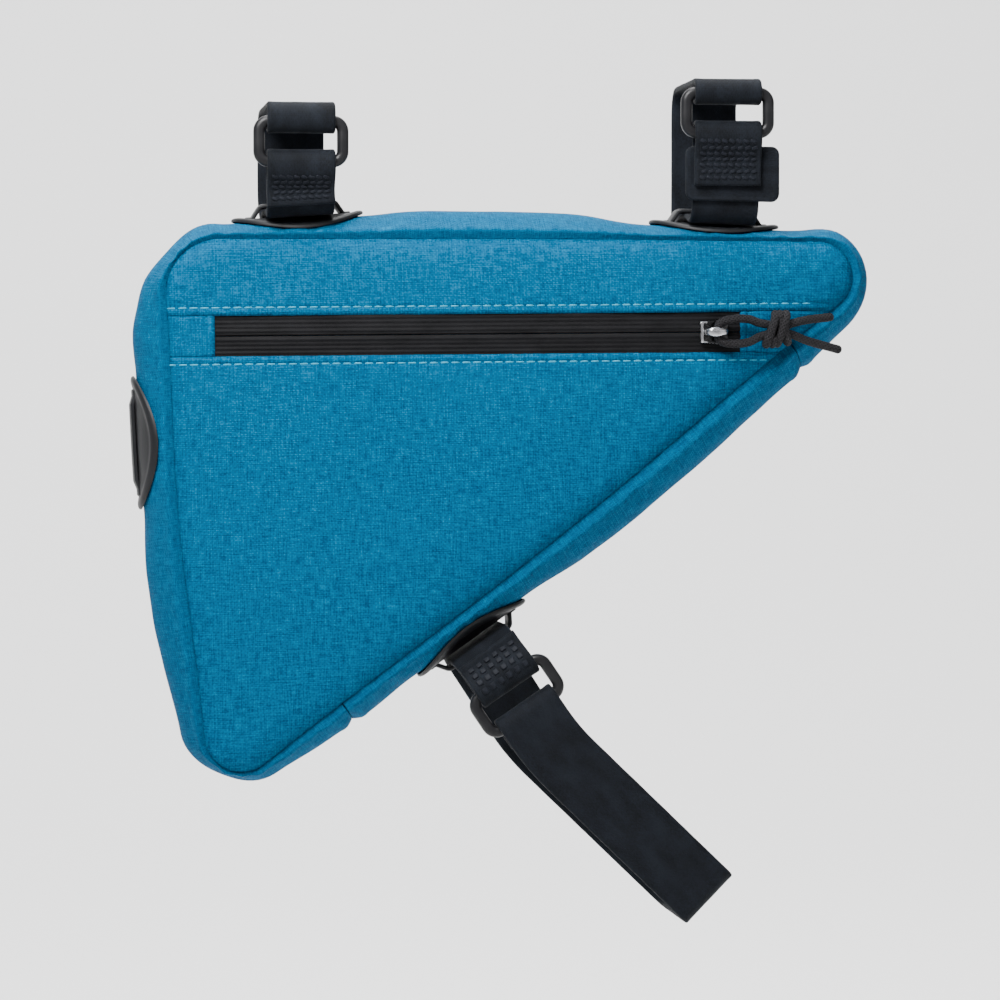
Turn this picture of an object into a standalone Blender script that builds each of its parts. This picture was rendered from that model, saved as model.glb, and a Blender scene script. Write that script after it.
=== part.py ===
"""Triangular bicycle frame bag: a hollow sewn shell, a zip with a knotted cord pull, and three strap loops.

Frame: +X towards the front of the bicycle, +Y away from the viewer, +Z up. The origin is on the axis of
the top tube, midway between the two top straps. Lengths are in millimetres until MM turns them to metres.
"""
import bisect
import math
from collections import namedtuple

import bmesh
import bpy
from mathutils import Vector

MM = 0.001

# Seam triangle, from sharp corner to sharp corner
TOP_LENGTH = 229.6
DROP = 169.9
REAR_LEAN = 14.6
REAR_RADIUS = 16.5
TIP_RADIUS = 10.6
FOOT_RADIUS = 11.0
TOP_BOW = 0.4
DOWN_BOW = 2.0
REAR_BOW = 2.0
AXIS_ABOVE_SEAM = 23.4

# Shell
SEAM_DEPTH = 40.0
FABRIC = 2.4
GAP = 0.3
PANEL_RISE = 4.4
JOIN_NEAR_TIP = 50.0
JOIN_NEAR_FOOT = 50.0

# Zip
ZIP_LENGTH = 158.0
ZIP_HEIGHT = 12.1
ZIP_SLOPE = 0.6
ZIP_FROM_REAR = 16.1
ZIP_BELOW_SEAM = 29.2
TAPE = 1.0
TAPE_RECESS = 0.9
SLIDER_LENGTH = 8.8
SLIDER_WIDTH = 7.4
SLIDER_BODY = 2.2
SLIDER_FROM_END = 7.6
BAIL_BAR = 1.1
BAIL_WIDTH = 3.0
CORD = 2.6

# Strap anchors
ANCHOR_LENGTH = 40.0
ANCHOR_WIDTH = 34.0
ANCHOR_PLATE = 1.3
ANCHOR_GAP = 0.4
BRIDGE = 1.4
BRIDGE_WIDTH = 10.0
EMPTY_WAY = 0.5
ANCHOR_DENT = 1.6
DENT_REACH = 22.0
REAR_ANCHOR_UP = 110.0
DOWN_ANCHOR_FROM_TIP = 180.0

# Straps and rings
STRAP_SPACING = 128.0
STRAP_SETBACK = 42.0
STRAP_WIDTH = 20.4
STRAP = 1.8
RING_LENGTH = 28.5
RING_HEIGHT = 15.5
RING_BAR = 3.5
RING_CORNER = 3.0
TOP_TUBE_WIDTH = 37.0
DOWN_TUBE_WIDTH = 46.0
DOWN_RING_FACE = 19.5
SEAT_EDGE = 15.0
SEAT_DIP = 1.9
KEEPER_LENGTH = 28.6
KEEPER_HEIGHT = 16.5
KEEPER = 1.4
KEEPER_SHIFT = 1.8
KEEPER_UP = 15.5

CORNER_SPAN = 0.12
SEAM_HALF = SEAM_DEPTH / 2
REAR_X = -STRAP_SPACING / 2 - STRAP_SETBACK
BOWS = (TOP_BOW, DOWN_BOW, REAR_BOW)

# How far the gusset swells beyond the seam: place round the bag (0 rear corner, 1 front tip, 2 foot),
# and the swell as a share of half the seam depth
Station = namedtuple("Station", "place swell")
SWELL = (
    Station(0.00, 0.18), Station(0.12, 0.31), Station(0.25, 0.44), Station(0.45, 0.45),
    Station(0.66, 0.34), Station(0.88, 0.27), Station(1.00, 0.36), Station(1.12, 0.44),
    Station(1.25, 0.56), Station(1.38, 0.60), Station(1.52, 0.56), Station(1.68, 0.50),
    Station(1.80, 0.40), Station(1.90, 0.24), Station(2.00, 0.12), Station(2.12, 0.31),
    Station(2.32, 0.50), Station(2.60, 0.55), Station(2.80, 0.54), Station(2.92, 0.30),
)

Corner = namedtuple("Corner", "x z radius")
CORNERS = (
    Corner(REAR_X, -AXIS_ABOVE_SEAM, REAR_RADIUS),
    Corner(REAR_X + TOP_LENGTH, -AXIS_ABOVE_SEAM, TIP_RADIUS),
    Corner(REAR_X + REAR_LEAN, -AXIS_ABOVE_SEAM - DROP, FOOT_RADIUS),
)


def spread(start, end, steps):
    return [start + (end - start) * index / steps for index in range(steps + 1)]


def unit(x, z):
    length = math.hypot(x, z)
    return x / length, z / length


def side_direction(side):
    a = CORNERS[side % 3]
    b = CORNERS[(side + 1) % 3]
    return unit(b.x - a.x, b.z - a.z)


def corner_turn(index):
    """Angle by which the outline turns at a corner, clockwise as the viewer sees it."""
    ax, az = side_direction(index - 1)
    bx, bz = side_direction(index)
    return math.acos(ax * bx + az * bz)


def corner_tangent(index):
    """Length of side that a corner's arc takes up."""
    corner = CORNERS[index % 3]
    return corner.radius * math.tan(corner_turn(index) / 2)


def side_straight(side):
    a = CORNERS[side % 3]
    b = CORNERS[(side + 1) % 3]
    whole = math.hypot(b.x - a.x, b.z - a.z)
    return whole - corner_tangent(side) - corner_tangent(side + 1)


def mm_per_place(side):
    return side_straight(side) / (1 - 2 * CORNER_SPAN)


def place_at(side, distance):
    """Place on a named side at a distance from the side's first sharp corner."""
    side = SIDES[side]
    return side + CORNER_SPAN + (distance - corner_tangent(side)) / mm_per_place(side)


def rotated(x, z, angle):
    c = math.cos(angle)
    s = math.sin(angle)
    return x * c - z * s, x * s + z * c


def seam_frame(place):
    """Point of the seam line and its outward normal, as x, z, normal x, normal z."""
    nearest = round(place)
    offset = place - nearest
    if abs(offset) < CORNER_SPAN:
        index = nearest % 3
        corner = CORNERS[index]
        dx, dz = side_direction(index - 1)
        tangent = corner_tangent(index)
        start_x = corner.x - dx * tangent
        start_z = corner.z - dz * tangent
        turned = corner_turn(index) * (offset + CORNER_SPAN) / (2 * CORNER_SPAN)
        nx, nz = rotated(-dz, dx, -turned)
        centre_x = start_x + dz * corner.radius
        centre_z = start_z - dx * corner.radius
        return centre_x + nx * corner.radius, centre_z + nz * corner.radius, nx, nz
    side = math.floor(place)
    share = (place - side - CORNER_SPAN) / (1 - 2 * CORNER_SPAN)
    corner = CORNERS[side % 3]
    dx, dz = side_direction(side)
    straight = side_straight(side)
    run = corner_tangent(side) + straight * share
    bow = BOWS[side % 3] * math.sin(math.pi * share) ** 2
    tilt = BOWS[side % 3] * math.pi * math.sin(2 * math.pi * share) / straight
    nx, nz = unit(-dz - dx * tilt, dx - dz * tilt)
    return corner.x + dx * run - dz * bow, corner.z + dz * run + dx * bow, nx, nz


SIDES = {"top": 0, "down": 1, "rear": 2}
ANCHORS = (
    ("anchor_top_rear", "top", STRAP_SETBACK, STRAP),
    ("anchor_top_front", "top", STRAP_SETBACK + STRAP_SPACING, STRAP),
    ("anchor_down", "down", DOWN_ANCHOR_FROM_TIP, STRAP),
    ("anchor_rear", "rear", REAR_ANCHOR_UP, EMPTY_WAY),
)


def swell_curve(place):
    """Swell of the gusset beyond the seam, as a smooth curve through the stations."""
    place = place % 3
    count = len(SWELL)
    after = count
    for index, station in enumerate(SWELL):
        if station.place > place:
            after = index
            break
    values = [SWELL[(after + step) % count].swell for step in (-2, -1, 0, 1)]
    low = SWELL[after - 1].place
    high = SWELL[after].place if after < count else 3.0
    t = (place - low) / (high - low)
    smooth = 0.5 * (
        2 * values[1]
        + (values[2] - values[0]) * t
        + (2 * values[0] - 5 * values[1] + 4 * values[2] - values[3]) * t ** 2
        + (3 * values[1] - values[0] - 3 * values[2] + values[3]) * t ** 3
    )
    return smooth * SEAM_HALF


def swell_at(place):
    """Swell with a flat, slightly dented seat under each strap anchor."""
    swell = swell_curve(place)
    for _, side, along, _ in ANCHORS:
        middle = place_at(side, along)
        scale = mm_per_place(SIDES[side])
        away = ((place - middle + 1.5) % 3 - 1.5) * scale
        beyond = (abs(away) - ANCHOR_LENGTH / 2 - GAP) / DENT_REACH
        if beyond >= 1:
            continue
        reach = ANCHOR_LENGTH / 2 / scale
        before = swell_curve(middle - reach)
        after = swell_curve(middle + reach)
        seat = (before + after) / 2 + (after - before) * away / ANCHOR_LENGTH - ANCHOR_DENT
        hold = 0.5 + 0.5 * math.cos(math.pi * max(beyond, 0.0))
        swell += (seat - swell) * hold
    return swell


def crown(share):
    """Cross-section of the gusset: 1 along its middle, 0 at either seam."""
    return max(0.0, 1 - abs(share) ** 2.2) ** 0.75


def wall_point(place, share, height):
    """Point above the gusset's outer face; share is -1 at the front seam and 1 at the back one."""
    x, z, nx, nz = seam_frame(place)
    out = GAP / 2 + swell_at(place) * crown(share) + height
    return Vector((x + nx * out, SEAM_HALF * share, z + nz * out))


def centre_of_seams():
    xs = [corner.x for corner in CORNERS]
    zs = [corner.z for corner in CORNERS]
    return sum(xs) / 3, sum(zs) / 3


def dome(share):
    """Rise of a panel above its seam plane; share is 0 at its middle and 1 on the seam."""
    return PANEL_RISE * (1 - min(share, 1.0) ** 2.2)


def seam_reaches():
    """The seam line in polar form about the panel's middle, sorted by angle."""
    cx, cz = centre_of_seams()
    reaches = []
    for place in spread(0, 3, 240)[:-1]:
        x, z, _, _ = seam_frame(place)
        reaches.append((math.atan2(z - cz, x - cx), math.hypot(x - cx, z - cz)))
    reaches.sort()
    first = reaches[0]
    last = reaches[-1]
    return [(last[0] - math.tau, last[1])] + reaches + [(first[0] + math.tau, first[1])]


def panel_face(x, z):
    """Distance of the front panel's outer face from the middle plane."""
    cx, cz = centre_of_seams()
    angle = math.atan2(z - cz, x - cx)
    after = bisect.bisect([reach[0] for reach in SEAM_REACHES], angle)
    low, near = SEAM_REACHES[after - 1]
    high, far = SEAM_REACHES[after]
    reach = near + (far - near) * (angle - low) / (high - low)
    return SEAM_HALF + dome(math.hypot(x - cx, z - cz) / reach)


def material(name, colour, roughness, metallic=0.0):
    made = bpy.data.materials.get(name) or bpy.data.materials.new(name)
    made.use_nodes = True
    shader = made.node_tree.nodes["Principled BSDF"]
    shader.inputs["Base Color"].default_value = (*colour, 1.0)
    shader.inputs["Roughness"].default_value = roughness
    shader.inputs["Metallic"].default_value = metallic
    made.diffuse_color = (*colour, 1.0)
    return made


def new_object(name, mesh_data, finish, smooth_angle=40.0):
    made = bpy.data.objects.new(name, mesh_data)
    bpy.context.scene.collection.objects.link(made)
    mesh_data.materials.append(material(*finish))
    mesh_data.shade_smooth()
    mesh_data.set_sharp_from_angle(angle=math.radians(smooth_angle))
    return made


def mesh_from(bm, name):
    bmesh.ops.recalc_face_normals(bm, faces=bm.faces[:])
    made = bpy.data.meshes.new(name)
    bm.to_mesh(made)
    bm.free()
    return made


def hide_guide(guide):
    guide.hide_render = True
    guide.display_type = "WIRE"


def combine(target, guide, operation):
    hide_guide(guide)
    modifier = target.modifiers.new(operation.lower(), "BOOLEAN")
    modifier.operation = operation
    modifier.object = guide
    modifier.solver = "EXACT"


def skin(name, sections, closed=False):
    """Solid through a row of closed sections; point j of a section lies opposite point -1 - j."""
    bm = bmesh.new()
    rings = [[bm.verts.new(point * MM) for point in section] for section in sections]
    count = len(rings[0])
    last = len(rings) if closed else len(rings) - 1
    for index in range(last):
        here = rings[index]
        there = rings[(index + 1) % len(rings)]
        for j in range(count):
            k = (j + 1) % count
            bm.faces.new((here[j], here[k], there[k], there[j]))
    if not closed:
        for ring in (rings[0], rings[-1]):
            for j in range(count // 2 - 1):
                bm.faces.new((ring[j], ring[j + 1], ring[count - 2 - j], ring[count - 1 - j]))
    return mesh_from(bm, name)


def outline_places(start, end):
    """Places from start to end: close together round the corners, wider apart along the sides."""
    places = {round(start, 6), round(end, 6)}
    for whole in range(math.floor(start) - 1, math.ceil(end) + 1):
        for place in spread(whole - CORNER_SPAN, whole + CORNER_SPAN, 7):
            places.add(round(place, 6))
        for place in spread(whole + CORNER_SPAN, whole + 1 - CORNER_SPAN, 9):
            places.add(round(place, 6))
    return sorted(place for place in places if start - 1e-6 <= place <= end + 1e-6)


CLOTH = ("bag_fabric", (0.005, 0.19, 0.33), 0.85)
TAPE_BLACK = ("zip_tape", (0.012, 0.012, 0.014), 0.7)
METAL = ("slider_metal", (0.30, 0.30, 0.31), 0.35, 1.0)
CORD_BLACK = ("pull_cord", (0.015, 0.015, 0.018), 0.8)
RUBBER = ("anchor_rubber", (0.035, 0.036, 0.04), 0.6)
WEBBING = ("strap_webbing", (0.012, 0.014, 0.018), 0.8)
PLASTIC = ("ring_plastic", (0.014, 0.014, 0.016), 0.4)


def make_gusset(name, start, end):
    shares = [math.sin(math.radians(angle)) for angle in spread(-90, 90, 10)]
    inner_half = 1 - (FABRIC + GAP / 2) / SEAM_HALF
    sections = []
    for place in outline_places(start, end):
        x, z, nx, nz = seam_frame(place)
        outer = [wall_point(place, share, 0.0) for share in shares]
        inner = []
        for share in reversed(shares):
            out = GAP / 2 + max(swell_at(place) - FABRIC, 0.0) * crown(share)
            inner.append(Vector((x + nx * out, SEAM_HALF * inner_half * share, z + nz * out)))
        sections.append(outer + inner)
    return new_object(name, skin(name, sections), CLOTH)


def panel_sheet(name, facing):
    """Gently domed triangular sheet that fills one seam line; facing is -1 for the front and 1 for the back."""
    cx, cz = centre_of_seams()
    outline = []
    for place in outline_places(0, 3)[:-1]:
        x, z, nx, nz = seam_frame(place)
        outline.append((x - nx * GAP / 2, z - nz * GAP / 2))
    bm = bmesh.new()
    layers = []
    for depth in (0.0, FABRIC):
        rings = []
        for share in (1.0, 0.93, 0.8, 0.6, 0.36, 0.14):
            ring = []
            for x, z in outline:
                px = cx + (x - cx) * share
                pz = cz + (z - cz) * share
                y = facing * (SEAM_HALF + dome(share) - depth)
                ring.append(bm.verts.new(Vector((px, y, pz)) * MM))
            rings.append(ring)
        middle = bm.verts.new(Vector((cx, facing * (SEAM_HALF + PANEL_RISE - depth), cz)) * MM)
        layers.append((rings, middle))
    count = len(outline)
    for rings, middle in layers:
        for outer, inner in zip(rings, rings[1:]):
            for j in range(count):
                k = (j + 1) % count
                bm.faces.new((outer[j], outer[k], inner[k], inner[j]))
        for j in range(count):
            bm.faces.new((rings[-1][j], rings[-1][(j + 1) % count], middle))
    top_edge = layers[0][0][0]
    low_edge = layers[1][0][0]
    for j in range(count):
        k = (j + 1) % count
        bm.faces.new((top_edge[j], top_edge[k], low_edge[k], low_edge[j]))
    return mesh_from(bm, name)


SEAM_REACHES = seam_reaches()


def zip_point(u, v, lift):
    """Point of the zip's own frame: u along it from its rear end, v across it, lift above the panel."""
    x, z = rotated(u, v, math.radians(ZIP_SLOPE))
    x += REAR_X + ZIP_FROM_REAR
    z -= AXIS_ABOVE_SEAM + ZIP_BELOW_SEAM
    return Vector((x, -panel_face(x, z) - lift, z))


def zip_slab(name, along, across, lifts, steps, finish):
    """Strip that follows the panel; along, across and lifts are its ends in the zip's frame."""
    sections = []
    for u in spread(*along, steps):
        outer = [zip_point(u, v, lifts[1]) for v in spread(*across, 1)]
        inner = [zip_point(u, v, lifts[0]) for v in reversed(spread(*across, 1))]
        sections.append(outer + inner)
    return new_object(name, skin(name, sections), finish)


def cut_region(name, along, across):
    """Guide block that bounds one piece of the front panel, in the zip's frame."""
    bm = bmesh.new()
    corners = []
    for depth in (0.0, 2 * SEAM_DEPTH):
        for u, v in ((along[0], across[0]), (along[1], across[0]), (along[1], across[1]), (along[0], across[1])):
            point = zip_point(u, v, 0.0)
            corners.append(bm.verts.new(Vector((point.x, -depth, point.z)) * MM))
    for quad in ((0, 1, 2, 3), (4, 5, 6, 7), (0, 1, 5, 4), (1, 2, 6, 5), (2, 3, 7, 6), (3, 0, 4, 7)):
        bm.faces.new([corners[index] for index in quad])
    guide = bpy.data.objects.new(name, mesh_from(bm, name))
    bpy.context.scene.collection.objects.link(guide)
    return guide


def make_front_panels():
    half = ZIP_HEIGHT / 2
    far = TOP_LENGTH + DROP
    regions = (
        ("front_upper_panel", (-far, far), (half, far)),
        ("front_lower_panel", (-far, far), (-far, -half)),
        ("zip_end_tab_rear", (-far, -GAP), (GAP - half, half - GAP)),
        ("zip_end_tab_front", (ZIP_LENGTH + GAP, far), (GAP - half, half - GAP)),
    )
    for name, along, across in regions:
        panel = new_object(name, panel_sheet(name, -1), CLOTH)
        combine(panel, cut_region(name + "_region", along, across), "INTERSECT")


def make_zip():
    half = ZIP_HEIGHT / 2 - GAP
    face = -TAPE_RECESS
    along = (0.0, ZIP_LENGTH)
    zip_slab("zip_tape_upper", along, (GAP / 2, half), (face - TAPE, face), 10, TAPE_BLACK)
    zip_slab("zip_tape_lower", along, (-half, -GAP / 2), (face - TAPE, face), 10, TAPE_BLACK)
    make_slider(ZIP_LENGTH - SLIDER_FROM_END, face + GAP)


def fillet_path(corners, step=math.radians(30)):
    """Path through corners given as (a, b, radius), with each corner rounded by its radius."""
    path = []
    for index, (a, b, radius) in enumerate(corners):
        if index in (0, len(corners) - 1) or radius == 0:
            path.append((a, b))
            continue
        back = unit(corners[index - 1][0] - a, corners[index - 1][1] - b)
        ahead = unit(corners[index + 1][0] - a, corners[index + 1][1] - b)
        turn = math.pi - math.acos(max(-1.0, min(1.0, back[0] * ahead[0] + back[1] * ahead[1])))
        if turn < 1e-3:
            continue
        tangent = radius * math.tan(turn / 2)
        start = (a + back[0] * tangent, b + back[1] * tangent)
        side = 1 if back[0] * ahead[1] - back[1] * ahead[0] < 0 else -1
        inward = rotated(back[0], back[1], -side * math.pi / 2)
        centre = (start[0] + inward[0] * radius, start[1] + inward[1] * radius)
        for angle in spread(0, turn, max(2, round(turn / step))):
            spoke = rotated(start[0] - centre[0], start[1] - centre[1], side * angle)
            path.append((centre[0] + spoke[0], centre[1] + spoke[1]))
    clean = [path[0]]
    for point in path[1:]:
        if math.dist(point, clean[-1]) > 1e-3:
            clean.append(point)
    return clean


def band(name, path, thickness, width, place):
    """Flat band along a path of (a, b) points; place(a, b, w) gives a point in space."""
    sections = []
    for index, (a, b) in enumerate(path):
        before = path[max(index - 1, 0)]
        after = path[min(index + 1, len(path) - 1)]
        na, nb = rotated(*unit(after[0] - before[0], after[1] - before[1]), math.pi / 2)
        half = thickness / 2
        outer = [place(a + na * half, b + nb * half, w) for w in (-width / 2, width / 2)]
        inner = [place(a - na * half, b - nb * half, w) for w in (width / 2, -width / 2)]
        sections.append(outer + inner)
    return skin(name, sections)


def make_slider(centre, base):
    """Slider body that rides on the tapes, with an arched bail for the cord."""
    sections = []
    shape = ((-0.5, 0.55), (-0.36, 0.88), (0.1, 1.0), (0.4, 0.86), (0.5, 0.6))
    for along, share in shape:
        u = centre + along * SLIDER_LENGTH
        half = SLIDER_WIDTH / 2 * share
        shoulder = half * 0.8
        top = base + SLIDER_BODY
        rim = base + SLIDER_BODY * 0.6
        outer = [(-half, rim), (-shoulder, top), (shoulder, top), (half, rim)]
        inner = [(half, base), (shoulder, base), (-shoulder, base), (-half, base)]
        sections.append([zip_point(u, v, lift) for v, lift in outer + inner])
    body = new_object("zip_slider", skin("zip_slider", sections), METAL)
    leg = CORD / 2 + 2 * GAP + BAIL_BAR
    roof = base + SLIDER_BODY + CORD + 2 * GAP + BAIL_BAR / 2
    foot = base + SLIDER_BODY / 2
    path = fillet_path(((-leg, foot, 0), (-leg, roof, 1.2), (leg, roof, 1.2), (leg, foot, 0)))
    bail_mesh = band("bail", path, BAIL_BAR, BAIL_WIDTH, lambda u, lift, v: zip_point(centre + u, v, lift))
    bail = bpy.data.objects.new("bail_guide", bail_mesh)
    bpy.context.scene.collection.objects.link(bail)
    combine(body, bail, "UNION")


def smooth_points(route, steps=3):
    """Points of a Catmull-Rom curve through a route."""
    ends = [2 * route[0] - route[1]] + route + [2 * route[-1] - route[-2]]
    points = []
    for index in range(1, len(ends) - 2):
        a, b, c, d = ends[index - 1:index + 3]
        for t in spread(0, 1, steps)[:-1]:
            bend = (2 * a - 5 * b + 4 * c - d) * t ** 2 + (3 * b - a - 3 * c + d) * t ** 3
            points.append(0.5 * (2 * b + (c - a) * t + bend))
    points.append(route[-1])
    return points


# Route of the pull cord in the zip's frame, from the middle of the slider: along, across, lift
LOOP_ROUTE = (
    (13.0, 2.6, 4.1), (9.6, 3.8, 3.8), (5.0, 3.8, 3.5), (1.3, 2.7, 3.25), (0.2, 0.0, 3.25),
    (1.3, -2.7, 3.25), (5.0, -3.6, 3.5), (9.6, -3.2, 3.8), (13.0, -1.6, 4.1),
)
UPPER_TAIL_ROUTE = ((24.0, 2.6, 4.0), (28.4, 3.5, 3.6), (35.6, 4.3, 2.9))
LOWER_TAIL_ROUTE = ((24.0, -1.2, 4.0), (28.6, -3.0, 3.4), (38.0, -5.6, 2.7))
KNOT_ALONG = 18.5
KNOT_ACROSS = 0.7
KNOT_LENGTH = 9.8
KNOT_HEIGHT = 11.6
KNOT_DEPTH = 7.4


def make_cord(name, route, centre):
    curve = bpy.data.curves.new(name, "CURVE")
    curve.dimensions = "3D"
    curve.bevel_depth = CORD / 2 * MM
    curve.bevel_resolution = 2
    curve.use_fill_caps = True
    points = smooth_points([zip_point(centre + u, v, lift) for u, v, lift in route])
    spline = curve.splines.new("POLY")
    spline.points.add(len(points) - 1)
    for spot, point in zip(spline.points, points):
        spot.co = (*(point * MM), 1.0)
    made = bpy.data.objects.new(name, curve)
    curve.materials.append(material(*CORD_BLACK))
    bpy.context.scene.collection.objects.link(made)


def make_pull():
    centre = ZIP_LENGTH - SLIDER_FROM_END
    make_cord("pull_loop", LOOP_ROUTE, centre)
    make_cord("pull_tail_upper", UPPER_TAIL_ROUTE, centre)
    make_cord("pull_tail_lower", LOWER_TAIL_ROUTE, centre)
    bm = bmesh.new()
    bmesh.ops.create_uvsphere(bm, u_segments=12, v_segments=8, radius=0.5)
    lift = GAP + KNOT_DEPTH / 2
    middle = zip_point(centre + KNOT_ALONG, KNOT_ACROSS, lift)
    for vert in bm.verts:
        x, y, z = vert.co
        vert.co = (middle + Vector((x * KNOT_LENGTH, y * KNOT_DEPTH, z * KNOT_HEIGHT))) * MM
    new_object("pull_knot", mesh_from(bm, "pull_knot"), CORD_BLACK)


def anchor_point(side, along, u, v, height):
    """Point above the gusset at an anchor: u along the gusset, v across it."""
    place = place_at(side, along + u)
    return wall_point(place, v / SEAM_HALF, ANCHOR_GAP + height)


def make_anchor(name, side, along, way):
    """Oval plate that follows the gusset, with a bridge raised over the strap's way."""
    bm = bmesh.new()
    layers = []
    for top in (0.0, 1.0):
        rings = []
        for share in (1.0, 0.82, 0.6, 0.3):
            ring = []
            for angle in spread(0, math.tau, 24)[:-1]:
                u = ANCHOR_LENGTH / 2 * share * math.cos(angle)
                v = ANCHOR_WIDTH / 2 * share * math.sin(angle)
                height = top * ANCHOR_PLATE * (0.7 if share == 1.0 else 1.0)
                ring.append(bm.verts.new(anchor_point(side, along, u, v, height) * MM))
            rings.append(ring)
        layers.append((rings, bm.verts.new(anchor_point(side, along, 0, 0, top * ANCHOR_PLATE) * MM)))
    for rings, middle in layers:
        for j in range(24):
            k = (j + 1) % 24
            for outer, inner in zip(rings, rings[1:]):
                bm.faces.new((outer[j], outer[k], inner[k], inner[j]))
            bm.faces.new((rings[-1][j], rings[-1][k], middle))
            if middle is layers[0][1]:
                low = layers[0][0][0]
                high = layers[1][0][0]
                bm.faces.new((low[j], low[k], high[k], high[j]))
    plate = new_object(name, mesh_from(bm, name), RUBBER)
    foot = STRAP_WIDTH / 2 + 4.6
    shoulder = STRAP_WIDTH / 2 + 0.9
    roof = ANCHOR_PLATE + way + 2 * GAP + BRIDGE / 2
    sunk = ANCHOR_PLATE / 2
    path = fillet_path((
        (-foot - 1.5, sunk, 0), (-foot, sunk, 1), (-shoulder, roof, 2.2),
        (shoulder, roof, 2.2), (foot, sunk, 1), (foot + 1.5, sunk, 0),
    ))
    bridge_mesh = band(
        name + "_bridge", path, BRIDGE * 0.86, BRIDGE_WIDTH,
        lambda u, height, v: anchor_point(side, along, u, v, height),
    )
    bridge = bpy.data.objects.new(name + "_bridge", bridge_mesh)
    bpy.context.scene.collection.objects.link(bridge)
    combine(plate, bridge, "UNION")


BARS_APART = RING_HEIGHT - RING_BAR
WRAP = RING_BAR / 2 + GAP + STRAP / 2
SEAT = ANCHOR_GAP + ANCHOR_PLATE + GAP + STRAP / 2
TOP_FACE = TOP_TUBE_WIDTH / 2 + GAP + STRAP / 2
DOWN_BACK = DOWN_TUBE_WIDTH / 2 + GAP + STRAP / 2

STRAPS = (
    dict(name="top_rear", side="top", along=STRAP_SETBACK, ring_up=22.5, top_up=33.5, free_up=3.9,
         sewn_up=30.3, face=TOP_FACE, back=TOP_FACE, seat_half=SEAT_EDGE, front_flare=3.2, back_flare=3.2,
         seat_dip=SEAT_DIP, near_heading=90.0, bend=0.0, keeper=False),
    dict(name="top_front", side="top", along=STRAP_SETBACK + STRAP_SPACING, ring_up=33.8, top_up=43.3, free_up=12.2,
         sewn_up=41.0, face=TOP_FACE, back=TOP_FACE, seat_half=SEAT_EDGE, front_flare=3.2, back_flare=3.2,
         seat_dip=SEAT_DIP, near_heading=90.0, bend=0.0, keeper=True),
    dict(name="down", side="down", along=DOWN_ANCHOR_FROM_TIP, ring_up=20.7, top_up=105.8, free_up=4.4,
         sewn_up=33.0, face=DOWN_RING_FACE, back=DOWN_BACK, seat_half=13.0, front_flare=4.0, back_flare=34.0,
         seat_dip=0.0, near_heading=-56.0, bend=12.0, keeper=False),
)


def strap_path(row):
    """Path of a strap in its own plane, as (distance from the gusset, y): free end, ring, loop, ring, sewn end."""
    face = row["face"]
    outer = face + 2 * WRAP
    near = row["ring_up"] - BARS_APART / 2
    far = row["ring_up"] + BARS_APART / 2
    free = face + STRAP + GAP + (KEEPER + GAP if row["keeper"] else 0.0)
    corners = [
        (row["free_up"], -free, 0),
        (near - 2.6 * WRAP, -free, WRAP),
        (near - 0.9 * WRAP, -outer, WRAP),
        (near + WRAP, -outer, WRAP),
        (near + WRAP, -face, WRAP),
    ]
    low = SEAT - row["seat_dip"]
    corners += [
        (low + row["front_flare"], -face, 3),
        (low, -row["seat_half"], 3),
    ]
    if row["seat_dip"]:
        corners += [(SEAT, -BRIDGE_WIDTH / 2 - 1.5, 2), (SEAT, BRIDGE_WIDTH / 2 + 1.5, 2)]
    corners += [
        (low, row["seat_half"], 3),
        (low + row["back_flare"], row["back"], min(row["back_flare"], 10)),
        (row["top_up"], row["back"], 6),
        (row["top_up"], -outer, WRAP + GAP),
        (far - WRAP, -outer, WRAP),
        (far - WRAP, -face, WRAP),
        (row["sewn_up"], -face, 0),
    ]
    return fillet_path(corners)


def strap_heading(row, seat_heading, up):
    """Heading of a strap in the X-Z plane: square to its anchor, then straight through the ring, then on."""
    after_ring = row["ring_up"] + BARS_APART / 2 + WRAP + STRAP
    settled = min(max((up - SEAT - STRAP) / 5.0, 0.0), 1.0)
    bent = min(max((up - after_ring) / 16.0, 0.0), 1.0)
    near = math.radians(row["near_heading"])
    return seat_heading + (near - seat_heading) * settled + math.radians(row["bend"]) * bent


def strap_point(row, up, across, y):
    """Point of a strap's frame: up from the gusset along the strap, across its width, and y in space."""
    place = place_at(row["side"], row["along"])
    x, _, z = wall_point(place, 0.0, 0.0)
    ahead = wall_point(place + 0.01, 0.0, 0.0) - wall_point(place - 0.01, 0.0, 0.0)
    seat_heading = math.atan2(ahead.x, -ahead.z)
    steps = 30
    for index in range(steps):
        heading = strap_heading(row, seat_heading, up * (index + 0.5) / steps)
        x += math.cos(heading) * up / steps
        z += math.sin(heading) * up / steps
    heading = strap_heading(row, seat_heading, up)
    return Vector((x + math.sin(heading) * across, y, z - math.cos(heading) * across))


def make_strap(row):
    name = "strap_" + row["name"]
    path = []
    for start, end in zip(strap_path(row), strap_path(row)[1:]):
        pieces = max(1, round(math.dist(start, end) / 12.0))
        for t in spread(0, 1, pieces)[:-1]:
            path.append((start[0] + (end[0] - start[0]) * t, start[1] + (end[1] - start[1]) * t))
    path.append(strap_path(row)[-1])
    mesh = band(name, path, STRAP, STRAP_WIDTH, lambda up, y, across: strap_point(row, up, across, y))
    new_object(name, mesh, WEBBING)


def rounded_rectangle(length, height, radius, steps=3):
    points = []
    for index, (sx, sz) in enumerate(((1, 1), (-1, 1), (-1, -1), (1, -1))):
        for angle in spread(index * math.pi / 2, (index + 1) * math.pi / 2, steps):
            across = sx * (length / 2 - radius) + radius * math.cos(angle)
            up = sz * (height / 2 - radius) + radius * math.sin(angle)
            points.append((across, up))
    return points


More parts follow.
